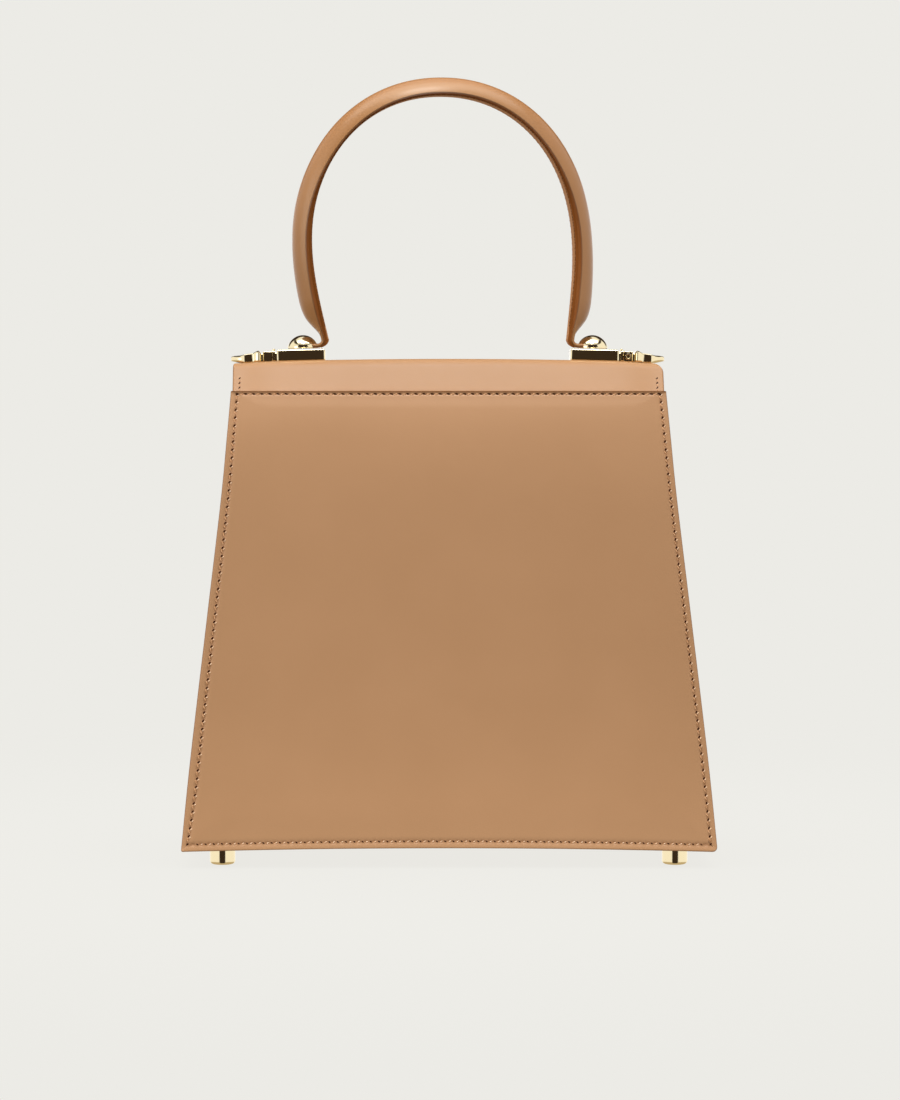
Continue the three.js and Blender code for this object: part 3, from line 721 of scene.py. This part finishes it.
def gussetGrid(side):
    lowest = gusset["baseTop"] + bag["gap"]
    highest = bag["panelTop"] - flap["overlap"] - flap["thickness"]
    columns = [-2, -1.5, *np.linspace(-1, 1, 41), 1.5, 2]
    rows = [*np.linspace(0, 0.9, 36), *np.linspace(0.905, 1, 18)]

    def place(across, rise):
        point = gussetSpot(side, across, mix(lowest, highest, rise), rise)
        toTop = (1 - rise) * (highest - lowest)
        groove = math.exp(-((toTop - gusset["hem"]) / seam["grooveWidth"]) ** 2)
        point.x -= side * seam["groove"] * groove
        # seam: burnish with painted shade in the hem's groove
        shades = {"edge": 1 - smoothShare(toTop, 0.1, 0.7), "seam": 0.35 * groove}
        return point, shades

    bm = shapedGrid(columns, rows, place)
    faceTowards(bm, (side, 0, 0))
    return bm, lowest, highest


for word, side in (("left", -1), ("right", 1)):
    bm, lowest, highest = gussetGrid(side)
    finishPiece(f"gusset_{word}_leather", bm, panelCalf, [f"gusset_{word}"],
                [wall(gusset["thickness"])], smooth=60)
    beads = {kind: [] for kind in beadShapes}
    rise = 1 - gusset["hem"] / (highest - lowest)
    route = [(gussetSpot(side, across, mix(lowest, highest, rise), rise), Vector((side, 0, 0)))
             for across in np.linspace(-0.86, 0.86, 30)]
    sewAlong(beads, route, seam["pitch"])
    sewnPiece(f"gusset_{word}_stitches", beads)

low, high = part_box("base_panel")
bm = bmesh.new()
bmesh.ops.create_cube(bm, size=1)
bmesh.ops.subdivide_edges(bm, edges=bm.edges, cuts=6, use_grid_fill=True)
bmesh.ops.scale(bm, vec=[1000 * (h - l) for l, h in zip(low, high)], verts=bm.verts)
bmesh.ops.translate(bm, vec=(0, 0, 500 * (low[2] + high[2])), verts=bm.verts)
sharp = [edge for edge in bm.edges if edge.calc_face_angle() > 1]
bmesh.ops.bevel(bm, geom=sharp, offset=0.9, segments=4, profile=0.5, affect="EDGES", material=-1)
finishPiece("base_leather", bm, baseCalf, ["base_panel"])
print("gussets and base made")


# Handle

bars = {
    "length": 39.7,
    "depth": 13.6,
    "height": 5.2,
    "overhang": 0.5,
    "tipLift": 1.3,  # rise of the finial's tip off the leather
    "studFromEnd": 9.4,
    "studRadius": 6.5,
    "studHeight": 5.6,
}
barInnerEnd = bag["topWidth"] / 2 + bars["overhang"] - bars["length"]
barFoot = flap["ridgeTop"] + 0.05 - ridgeDrop(barInnerEnd, flap["ridgeTop"])
barTilt = math.atan(2 * flap["ridgeSag"] * (barInnerEnd + bars["length"] / 2) / (bag["topWidth"] / 2) ** 2)

handle = {
    "halfWidth": 55,
    "archHeight": 62.2,
    "squareness": 2.1,
    "legHeight": 42.95,
    "legOverhang": 1.4,
    "footSlope": 0.17,
    "width": 15,
    "thickness": 6.4,
    "lining": 1.2,
    "tongueWidth": 10,
    "tongueThickness": 1.8,
    "tongueBend": 1.5,
    "pastStud": 1.6,
    "lean": -2.5,
    "twist": 4.5,
    "settle": 62,
    "flare": (0.17, 0.03),  # depth of the lip, shares of the thickness at the legs and the crown
    "backAngle": 52,  # degrees from the middle of the strap's back to its lip
    "liningShare": 0.94,
    "stripAtCrown": 0.7,  # thickness
    "stripCurl": 0.45,  # rise of the strip's edges towards the strap
    "stitchPitch": 2.4,
}
# Lengths from a leg's foot up: shares of thickness and width, underside and squareness of the back
strapTaper = np.array([
    (0, 0.27, 0.67, 0.98, 5), (1.7, 0.26, 0.68, 0.97, 4.8), (3, 0.3, 0.7, 0.95, 4.4),
    (4.2, 0.39, 0.73, 0.92, 4.1), (5.4, 0.51, 0.76, 0.89, 3.8), (6.7, 0.64, 0.79, 0.87, 3.5),
    (8, 0.76, 0.83, 0.85, 3.2), (9.3, 0.87, 0.87, 0.83, 3), (10.6, 0.96, 0.9, 0.81, 2.8),
    (12, 1.02, 0.93, 0.8, 2.7), (14, 1.08, 0.97, 0.79, 2.65), (17, 1.12, 1, 0.78, 2.6),
    (22, 1.12, 1, 0.78, 2.6), (42, 1.05, 1, 0.78, 2.6), (75, 1, 1, 0.78, 2.6),
])
tongueHeight = barFoot + bars["height"] + bag["gap"]
legFoot = Vector((barInnerEnd - handle["legOverhang"],
                  tongueHeight + handle["tongueThickness"] + handle["tongueBend"]))
archCentre = tongueHeight + handle["legHeight"]


def insideLine():  # x and z along the inside of the strip, from the left foot to the right one
    rise = archCentre - legFoot.y
    widest = Vector((handle["halfWidth"], archCentre))
    leg = interpolate_bezier(
        legFoot, legFoot + Vector((handle["footSlope"], 1)) * rise / 3,
        widest - Vector((0, rise / 3)), widest, 40)
    power = 2 / handle["squareness"]
    points = [Vector((-p.x, p.y)) for p in leg]
    for angle in np.linspace(math.pi, 0, 130)[1:-1]:
        x = math.copysign(abs(math.cos(angle)) ** power, math.cos(angle)) * handle["halfWidth"]
        points.append(Vector((x, archCentre + handle["archHeight"] * math.sin(angle) ** power)))
    return points + leg[::-1]


def settled(point):  # the arch leans and twists a little
    share = min(max((point.z - legFoot.y) / handle["settle"], 0), 1)
    share = math.sin(share * math.pi / 2)
    turned = Matrix.Rotation(math.radians(handle["twist"]) * share, 3, "Z") @ point
    turned.x += handle["lean"] * share
    return turned


def strapSection(reach):
    thick, wide, under, square = [float(np.interp(reach, strapTaper[:, 0], strapTaper[:, k]))
                                  for k in range(1, 5)]
    return handle["thickness"] * thick, handle["width"] * wide, under, square


def stripTop(crown):  # where the strap lies on the strip
    return mix(strapLow, handle["stripAtCrown"], crown)


def strapOutline(section, crown):  # across and height round the strap, with painted shade on its lip and underside
    thick, wide, under, square = section
    flare = thick * mix(*handle["flare"], crown)
    low = stripTop(crown) - strapLow
    roundness = smoothShare(square, 5, 2.6)
    lip = math.radians(handle["backAngle"])
    outline = []
    for angle in np.linspace(0, math.pi, 41):
        boxed = math.copysign(abs(math.cos(angle)) ** (2 / square), math.cos(angle))
        turn = lip * (1 - 2 * angle / math.pi)
        across = mix(boxed, math.sin(turn) / math.sin(lip), roundness)
        arc = (math.cos(turn) - math.cos(lip)) / (1 - math.cos(lip))
        up = mix(abs(math.sin(angle)) ** (2 / square), arc, roundness)
        outline.append((across * wide / 2, mix(flare + low, thick, up), 1 - smoothShare(up, 0.0, 0.04)))
    for share in np.linspace(0, 1, 7)[1:]:
        inward = mix(1, under, math.sin(share * math.pi / 2)) * wide / 2
        outline.append((-inward, low + flare * (1 - share), 1))
    for share in np.linspace(0, 1, 7)[:-1][::-1]:
        inward = mix(1, under, math.sin(share * math.pi / 2)) * wide / 2
        outline.append((inward, low + flare * (1 - share), 1))
    return outline


def handleStations():
    line = insideLine()
    lengths = np.concatenate([[0], np.cumsum([(b - a).length for a, b in zip(line, line[1:])])])
    stations = []
    for i, foot in enumerate(line):
        ahead = line[min(i + 1, len(line) - 1)] - line[max(i - 1, 0)]
        normal = Vector((-ahead.y, ahead.x)).normalized()
        section = strapSection(min(lengths[i], lengths[-1] - lengths[i]))
        crown = smoothShare(foot.y, archCentre, archCentre + 45)
        stations.append({"foot": foot, "normal": normal, "section": section, "crown": crown})
    return stations


def tongueStations(side, low, turns):
    startAngle = math.atan(handle["footSlope"])
    outer = handle["tongueBend"] + handle["tongueThickness"]
    pivot = side * (legFoot.x + (low + outer) * math.cos(startAngle))
    section = (handle["tongueThickness"], handle["tongueWidth"], 0.98, 5)
    endX = side * (barInnerEnd + bars["studFromEnd"] + handle["pastStud"])
    places = [(endX, math.pi / 2)] if turns == 90 else []
    places += [(pivot, angle) for angle in np.linspace(math.radians(turns), -startAngle, 14)[:-1]]
    stations = []
    for x, angle in places:
        normal = Vector((side * math.cos(angle), math.sin(angle)))
        foot = Vector((x, tongueHeight + outer)) - normal * outer - normal * low
        stations.append({"foot": foot, "normal": normal, "section": section, "crown": 0})
    return stations


strapStations = handleStations()
strapLow = handle["lining"] + bag["gap"]
wholeStrap = [*tongueStations(-1, strapLow, 90), *strapStations, *tongueStations(1, strapLow, 90)[::-1]]


def strapGrid():
    outlines = [strapOutline(station["section"], station["crown"]) for station in wholeStrap]
    around = list(range(len(outlines[0]) + 1))

    def place(column, row):
        station = wholeStrap[row]
        across, height, shade = outlines[row][column % len(outlines[row])]
        spot = station["foot"] + station["normal"] * (strapLow + height)
        return settled(Vector((spot.x, across, spot.y))), {"seam": shade}

    bm = shapedGrid(around, list(range(len(wholeStrap))), place, closed=True)
    ends = [edge for edge in bm.edges if edge.is_boundary]
    bmesh.ops.holes_fill(bm, edges=ends, sides=0)
    bmesh.ops.recalc_face_normals(bm, faces=bm.faces)
    # faces wholly under the strap take the strip's matte leather in its darker seam colour: painted shade
    shade = bm.verts.layers.float["seam"]
    for face in bm.faces:
        face.material_index = int(min(vert[shade] for vert in face.verts) > 0.99)
    return bm


def liningSpot(station, across, height):
    thick, wide, under, _ = station["section"]
    width = wide * under * handle["liningShare"]
    spot = station["foot"] + station["normal"] * height
    return settled(Vector((spot.x, across * width, spot.y)))


def stripStations():  # the strip follows the strap round its bend, thinned to nothing
    ends = [tongueStations(side, strapLow, 66) for side in (-1, 1)]
    for stations in ends:
        for share, station in zip(np.linspace(1, 0, len(stations) + 1), stations):
            station["pared"] = (strapLow - 0.25) * smoothShare(share, 0, 1)
    return [*ends[0], *strapStations, *ends[1][::-1]]


def stripGrid():
    half = [0, 0.2, 0.3, 0.36, 0.4, 0.43, 0.455, 0.475, 0.49, 0.5]
    stations = stripStations()
    under = [(sign * across, False) for sign, run in ((-1, half[:0:-1]), (1, half)) for across in run]
    around = under + [(across, True) for across, _ in under[::-1]]
    around.append(around[0])

    def place(column, station):
        across, above = column
        edge = abs(across) * 2
        pared = station.get("pared", 0)
        curl = handle["stripCurl"] * smoothShare(edge, 0.55, 1)
        groove = 0.1 * math.exp(-((edge - 0.84) / 0.05) ** 2)
        low = max(curl + groove, pared)
        height = max(low, stripTop(station["crown"])) + 0.08 if above else low
        # seam: painted shade in the grooves beside the strip's stitches; edge: edge paint
        return liningSpot(station, across, height), {"edge": smoothShare(edge, 0.88, 0.97), "seam": 2 * groove}

    bm = shapedGrid(around, stations, place, closed=True)
    bmesh.ops.holes_fill(bm, edges=[edge for edge in bm.edges if edge.is_boundary], sides=0)
    bmesh.ops.recalc_face_normals(bm, faces=bm.faces)
    return bm


finishPiece("handle_leather", strapGrid(), [handleCalf, stripCalf], ["handle"], smooth=60)
finishPiece("handle_strip", stripGrid(), stripCalf, ["handle_lining"], smooth=60)
beads = {kind: [] for kind in beadShapes}
for across in (-0.42, 0.42):
    route = []
    for station in strapStations[6:-6]:
        point = liningSpot(station, across, handle["stripCurl"] * 0.7)
        route.append((point, (point - liningSpot(station, across, 1.4)).normalized()))
    sewAlong(beads, route, handle["stitchPitch"], size=0.8)
sewnPiece("handle_stitches", beads, brownThread)
print("handle made")


# End bars, studs, feet and clasp

# From a bar's inner end to its tip: shares of its length, height and depth, and its roundness
barProfile = [
    (0.0, 0.86, 0.93, 0.6), (0.014, 1.0, 1.0, 0.7), (0.496, 1.0, 1.0, 0.7), (0.51, 0.86, 0.93, 0.6),
    (0.51, 0.78, 0.82, 0.5), (0.53, 0.78, 0.82, 0.5),
    (0.53, 0.9, 0.9, 0.8), (0.537, 0.96, 0.94, 0.9), (0.556, 0.96, 0.94, 0.9), (0.563, 0.9, 0.9, 0.8),
    (0.563, 0.84, 0.88, 0.5), (0.571, 0.91, 0.92, 0.5), (0.648, 0.91, 0.92, 0.5), (0.658, 0.82, 0.86, 0.5),
    (0.658, 0.74, 0.76, 0.5), (0.68, 0.74, 0.76, 0.5),
    (0.682, 0.8, 0.82, 0.9), (0.69, 0.88, 0.9, 1.1), (0.7, 0.95, 0.96, 1.2), (0.708, 0.97, 0.97, 1.2),
    (0.718, 0.95, 0.95, 1.2), (0.74, 0.88, 0.86, 1.1), (0.758, 0.8, 0.78, 0.9),
    (0.764, 0.77, 0.755, 0.5), (0.81, 0.74, 0.755, 0.5), (0.856, 0.69, 0.755, 0.5), (0.862, 0.675, 0.72, 0.9),
    (0.9, 0.61, 0.6, 1.3), (0.94, 0.54, 0.46, 1.3), (0.97, 0.46, 0.33, 1.0), (0.99, 0.38, 0.21, 0.7),
    (1.0, 0.3, 0.1, 0.4),
]
ringAt, collarAt = 0.546, 0.61  # shares of the length at the ring's and the collar's middle
# Radii and heights of the ring's pin and of the screw in the right collar
pinProfile = [(0, 0), (0.6, 0), (0.6, 0.6), (0.52, 0.7), (0.3, 0.75), (0, 0.75)]
screwProfile = [(0, 0), (1.3, 0), (1.3, 0.15), (1.18, 0.28), (0.85, 0.3), (0.7, 0.12), (0.3, 0.1), (0, 0.2)]


def roundedOutline(halfDepth, height, radius, steps=6):
    radius = min(radius, 0.49 * height, 0.49 * 2 * halfDepth)
    outline = []
    for quarter, (signY, centreZ) in enumerate(((1, radius), (1, height - radius), (-1, height - radius), (-1, radius))):
        for share in np.linspace(0, 1, steps + 1):
            angle = (quarter - 1 + share) * math.pi / 2
            y = signY * (halfDepth - radius) + radius * math.cos(angle)
            outline.append((y, centreZ + radius * math.sin(angle)))
    return outline


def barGrid():
    rows = [(at * bars["length"], roundedOutline(deep * bars["depth"] / 2, high * bars["height"], soft),
             bars["tipLift"] * smoothShare(at, 0.88, 1.06)) for at, high, deep, soft in barProfile]
    around = list(range(len(rows[0][1]) + 1))

    def place(column, row):
        y, z = row[1][column % len(row[1])]
        return Vector((row[0], y, z + row[2])), {}

    bm = shapedGrid(around, rows, place, closed=True)
    bmesh.ops.holes_fill(bm, edges=[edge for edge in bm.edges if edge.is_boundary], sides=0)
    bmesh.ops.recalc_face_normals(bm, faces=bm.faces)
    return bm


def turned(profile, steps=64):  # spins a line of radius and height round the upright axis
    bm = bmesh.new()
    verts = [bm.verts.new((radius, 0, height)) for radius, height in profile]
    edges = [bm.edges.new(pair) for pair in zip(verts, verts[1:])]
    bmesh.ops.spin(bm, geom=[*verts, *edges], axis=(0, 0, 1), cent=(0, 0, 0), steps=steps,
                   angle=2 * math.pi, use_merge=True)
    bmesh.ops.remove_doubles(bm, verts=bm.verts, dist=1e-4)
    bmesh.ops.recalc_face_normals(bm, faces=bm.faces)
    return bm


def domeProfile():
    radius, height = bars["studRadius"], bars["studHeight"]
    lip = 0.5
    cap = height - lip
    sphere = (radius ** 2 + cap ** 2) / (2 * cap)
    rim = math.asin(radius / sphere)
    profile = [(0, 0), (radius - 0.35, 0), (radius, 0.3)]
    for angle in np.linspace(rim, 0, 20):
        profile.append((sphere * math.sin(angle), lip + sphere * (math.cos(angle) - math.cos(rim))))
    return profile


for word, side in (("left", -1), ("right", 1)):
    seat = Matrix.Translation((side * barInnerEnd, 0, barFoot)) @ Matrix.Rotation(side * barTilt, 4, "Y")
    if side < 0:
        seat = seat @ Matrix.Rotation(math.pi, 4, "Z")
    bm = barGrid()
    bmesh.ops.transform(bm, matrix=seat, verts=bm.verts)
    finishPiece(f"bar_{word}_casting", bm, paleGold, [f"end_bar_{word}"], smooth=35)
    bm = turned(pinProfile, steps=24)
    lift = Matrix.Translation((ringAt * bars["length"], 0, 0.94 * bars["height"]))
    bmesh.ops.transform(bm, matrix=seat @ lift, verts=bm.verts)
    finishPiece(f"bar_{word}_pin", bm, paleGold, smooth=35)
    if side > 0:
        bm = turned(screwProfile, steps=32)
        lift = Matrix.Translation((collarAt * bars["length"], -0.46 * bars["depth"], 0.47 * bars["height"]))
        face = Matrix.Rotation(math.pi / 2, 4, "X")
        bmesh.ops.transform(bm, matrix=seat @ lift @ face, verts=bm.verts)
        finishPiece(f"bar_{word}_screw", bm, paleGold, smooth=35)
    bm = turned(domeProfile())
    lift = Matrix.Translation((bars["studFromEnd"], 0, bars["height"] + bag["gap"]))
    bmesh.ops.transform(bm, matrix=seat @ lift, verts=bm.verts)
    finishPiece(f"stud_{word}_dome", bm, paleGold, [f"dome_stud_{word}"], smooth=35)

foot = {"radius": 5.3, "round": 1.4, "collar": 0.5}
for row in ("back", "front"):
    for word in ("left", "right"):
        low, high = [1000 * Vector(corner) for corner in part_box(f"foot_{row}_{word}")]
        profile = [(0, 0)]
        for angle in np.linspace(-math.pi / 2, 0, 9):
            profile.append((foot["radius"] - foot["round"] * (1 - math.cos(angle)),
                            foot["round"] * (1 + math.sin(angle))))
        profile += [(foot["radius"], high.z - 0.25), (foot["radius"] - 0.25, high.z), (0, high.z)]
        bm = turned(profile)
        bmesh.ops.translate(bm, vec=((low.x + high.x) / 2, (low.y + high.y) / 2, 0), verts=bm.verts)
        finishPiece(f"foot_{row}_{word}_turned", bm, paleGold, [f"foot_{row}_{word}"], smooth=35)

clasp = {"width": 26, "height": 17, "thickness": 3.4, "aboveEdge": 12, "corner": 4, "bevel": 0.8}
bm = bmesh.new()
bmesh.ops.create_cube(bm, size=1)
bmesh.ops.scale(bm, vec=(clasp["width"], clasp["thickness"], clasp["height"]), verts=bm.verts)
corners = [edge for edge in bm.edges if abs((edge.verts[0].co - edge.verts[1].co).normalized().y) > 0.9]
bmesh.ops.bevel(bm, geom=corners, offset=clasp["corner"], segments=8, profile=0.5, affect="EDGES", material=-1)
rims = [edge for edge in bm.edges if edge.calc_face_angle() > 0.6 and edge.verts[0].co.y > 0]
bmesh.ops.bevel(bm, geom=rims, offset=clasp["bevel"], segments=4, profile=0.5, affect="EDGES", material=-1)
middle = bag["panelTop"] - flap["reach"] + clasp["aboveEdge"] + clasp["height"] / 2
depth, level = besidePanel(middle, flap["thickness"] + 2 * bag["gap"] + clasp["thickness"] / 2)
lowDepth, lowLevel = besidePanel(middle - 5, 0)
highDepth, highLevel = besidePanel(middle + 5, 0)
lean = math.atan2(lowDepth - highDepth, highLevel - lowLevel)
seat = Matrix.Translation((0, depth, level)) @ Matrix.Rotation(lean, 4, "X")
bmesh.ops.transform(bm, matrix=seat, verts=bm.verts)
finishPiece("clasp_plate", bm, paleGold, ["clasp"], smooth=35)
print("hardware made")


# Camera at the photograph's viewing angle

cameraSettings = {
    "place": (-0.0318, -1.546, 0.215),
    "pitch": 3.1987,  # degrees downwards
    "lens": 120.12,
    "shift": 0.0709,
}
cameraData = bpy.data.cameras.new("camera")
cameraData.lens = cameraSettings["lens"]
cameraData.sensor_width = 36
cameraData.shift_x = cameraSettings["shift"]
camera = bpy.data.objects.new("camera", cameraData)
camera.location = cameraSettings["place"]
camera.rotation_euler = (math.radians(90 - cameraSettings["pitch"]), 0, 0)
bpy.context.scene.collection.objects.link(camera)
bpy.context.scene.camera = camera


# Studio: a pale light table, a soft white tent with a dark gap round the camera, softboxes

studio = {
    "backdrop": "#ecebe6",
    "floorGlow": 0.96,
    "bounce": (1.05, 0.2),  # the table's light on the bag, from near and from far
    "sky": (0.45, 1.6),  # light from the tent's walls and its ceiling
    "bright": 1.12,  # white walls and ceiling as the metal mirrors them
    "below": (0.62, 0.52, 0.36),  # table in the bag's shade
    "dark": (0.045, 0.03, 0.02),  # gaps between them
    "frontGap": (24, 30),  # degrees from straight in front
    "highGap": (38, 46),  # the same above eye level
    "frontTop": (44, 52),  # degrees up
    "backGap": (122, 134),
    "backTop": (50, 60),
    "wallTop": (40, 46),
    "ceiling": (0.6, 0.72),  # half width over height
    "softboxes": [
        # place, aim, width, height, watts
        ((0.0, -1.0, 2.1), (0, 0, 0.2), 0.55, 0.4, 12.1),
        ((-0.95, -0.65, 0.4), (0, 0, 0.12), 0.5, 0.8, 2.3),
        ((0.0, -0.12, 0.8), (0, -0.06, 0.3), 0.85, 0.24, 1.85),
    ],
}


def studioFloor():
    bm = bmesh.new()
    bmesh.ops.create_circle(bm, cap_ends=True, radius=12, segments=64)
    mesh = bpy.data.meshes.new("floor")
    bm.to_mesh(mesh)
    bm.free()
    material, tree = newMaterial("light table")
    place = addNode(tree, "ShaderNodeTexCoord", {}).outputs["Object"]
    reach = addNode(tree, "ShaderNodeVectorMath", {0: place}, operation="LENGTH").outputs["Value"]
    glowing = addNode(tree, "ShaderNodeMapRange",
                      {"Value": reach, "From Min": 0.15, "From Max": 0.5,
                       "To Min": studio["floorGlow"], "To Max": 1}, interpolation_type="SMOOTHSTEP")
    near, far = studio["bounce"]
    bounce = addNode(tree, "ShaderNodeMapRange",
                     {"Value": reach, "From Min": 0.05, "From Max": 0.45,
                      "To Min": near, "To Max": far}, interpolation_type="SMOOTHSTEP")
    seen = addNode(tree, "ShaderNodeLightPath", {}).outputs["Is Camera Ray"]
    level = addNode(tree, "ShaderNodeMix", {"Factor": seen, "A": bounce.outputs["Result"], "B": 1.0})
    table = addNode(tree, "ShaderNodeBsdfDiffuse", {"Color": hexColour(studio["backdrop"])})
    glow = addNode(tree, "ShaderNodeEmission",
                   {"Color": hexColour(studio["backdrop"]), "Strength": level.outputs["Result"]})
    both = addNode(tree, "ShaderNodeMixShader",
                   {"Fac": glowing.outputs["Result"], 1: table.outputs["BSDF"], 2: glow.outputs["Emission"]})
    addNode(tree, "ShaderNodeOutputMaterial", {"Surface": both.outputs["Shader"]})
    mesh.materials.append(material)
    floor = bpy.data.objects.new("floor", mesh)
    floor.visible_glossy = False
    bpy.context.scene.collection.objects.link(floor)


def ramp(tree, value, low, high):  # 0 below low, 1 above high, softly between
    inputs = {"Value": value, "From Min": min(low, high), "From Max": max(low, high),
              "To Min": float(low > high), "To Max": float(low < high)}
    return addNode(tree, "ShaderNodeMapRange", inputs, interpolation_type="SMOOTHSTEP").outputs["Result"]


def sums(tree, operation, *values):
    inputs = dict(enumerate(values))
    return addNode(tree, "ShaderNodeMath", inputs, operation=operation).outputs[0]


def studioWorld():
    world = bpy.data.worlds.new("tent")
    bpy.context.scene.world = world
    world.use_nodes = True
    tree = world.node_tree
    tree.nodes.clear()
    way = addNode(tree, "ShaderNodeTexCoord", {}).outputs["Generated"]
    parts = addNode(tree, "ShaderNodeSeparateXYZ", {"Vector": way}).outputs
    aside = sums(tree, "ABSOLUTE", parts["X"])
    forward = sums(tree, "MULTIPLY", parts["Y"], -1)
    turn = sums(tree, "DEGREES", sums(tree, "ARCTAN2", aside, forward))
    rise = sums(tree, "DEGREES", sums(tree, "ARCSINE", parts["Z"]))
    high = sums(tree, "MULTIPLY", ramp(tree, turn, *studio["highGap"][::-1]), ramp(tree, rise, 14, 20))
    front = sums(tree, "MAXIMUM", high, ramp(tree, turn, *studio["frontGap"][::-1]))
    front = sums(tree, "MULTIPLY", front, ramp(tree, rise, *studio["frontTop"][::-1]))
    back = sums(tree, "MULTIPLY", ramp(tree, turn, *studio["backGap"]),
                ramp(tree, rise, *studio["backTop"][::-1]))
    back = sums(tree, "MULTIPLY", back, ramp(tree, rise, 8, 16))
    spread = sums(tree, "DIVIDE", aside, sums(tree, "MAXIMUM", parts["Z"], 0.01))
    aloft = sums(tree, "MULTIPLY", ramp(tree, rise, *studio["wallTop"]),
                 ramp(tree, spread, *studio["ceiling"]))
    dark = sums(tree, "MAXIMUM", sums(tree, "MAXIMUM", front, back), aloft)
    gaps = sums(tree, "MULTIPLY", dark, ramp(tree, rise, -62, -48))
    around = addNode(tree, "ShaderNodeMix",
                     {"Factor": ramp(tree, rise, -28, -12), "A": [*studio["below"], 1],
                      "B": [studio["bright"]] * 3 + [1]}, data_type="RGBA")
    mirrored = addNode(tree, "ShaderNodeMix",
                       {"Factor": gaps, "A": around.outputs["Result"], "B": [*studio["dark"], 1]},
                       data_type="RGBA")
    path = addNode(tree, "ShaderNodeLightPath", {}).outputs
    walls, ceiling = studio["sky"]
    sky = addNode(tree, "ShaderNodeMix",
                  {"Factor": ramp(tree, rise, 5, 75), "A": [walls] * 3 + [1], "B": [ceiling] * 3 + [1]},
                  data_type="RGBA")
    lighting = addNode(tree, "ShaderNodeMix",
                       {"Factor": path["Is Glossy Ray"], "A": sky.outputs["Result"],
                        "B": mirrored.outputs["Result"]}, data_type="RGBA")
    colour = addNode(tree, "ShaderNodeMix",
                     {"Factor": path["Is Camera Ray"], "A": lighting.outputs["Result"],
                      "B": hexColour(studio["backdrop"])}, data_type="RGBA")
    background = addNode(tree, "ShaderNodeBackground", {"Color": colour.outputs["Result"]})
    addNode(tree, "ShaderNodeOutputWorld", {"Surface": background.outputs["Background"]})


def softbox(index, place, aim, width, height, watts):
    light = bpy.data.lights.new(f"softbox {index}", "AREA")
    light.shape = "RECTANGLE"
    light.size, light.size_y, light.energy = width, height, watts
    lamp = bpy.data.objects.new(light.name, light)
    lamp.location = place
    lamp.visible_camera = False
    lamp.rotation_euler = (Vector(aim) - Vector(place)).to_track_quat("-Z", "Y").to_euler()
    bpy.context.scene.collection.objects.link(lamp)


studioFloor()
studioWorld()
bpy.context.scene.view_settings.view_transform = "Standard"  # the photograph has no film curve
for index, box in enumerate(studio["softboxes"]):
    softbox(index, *box)
print("camera and studio made")
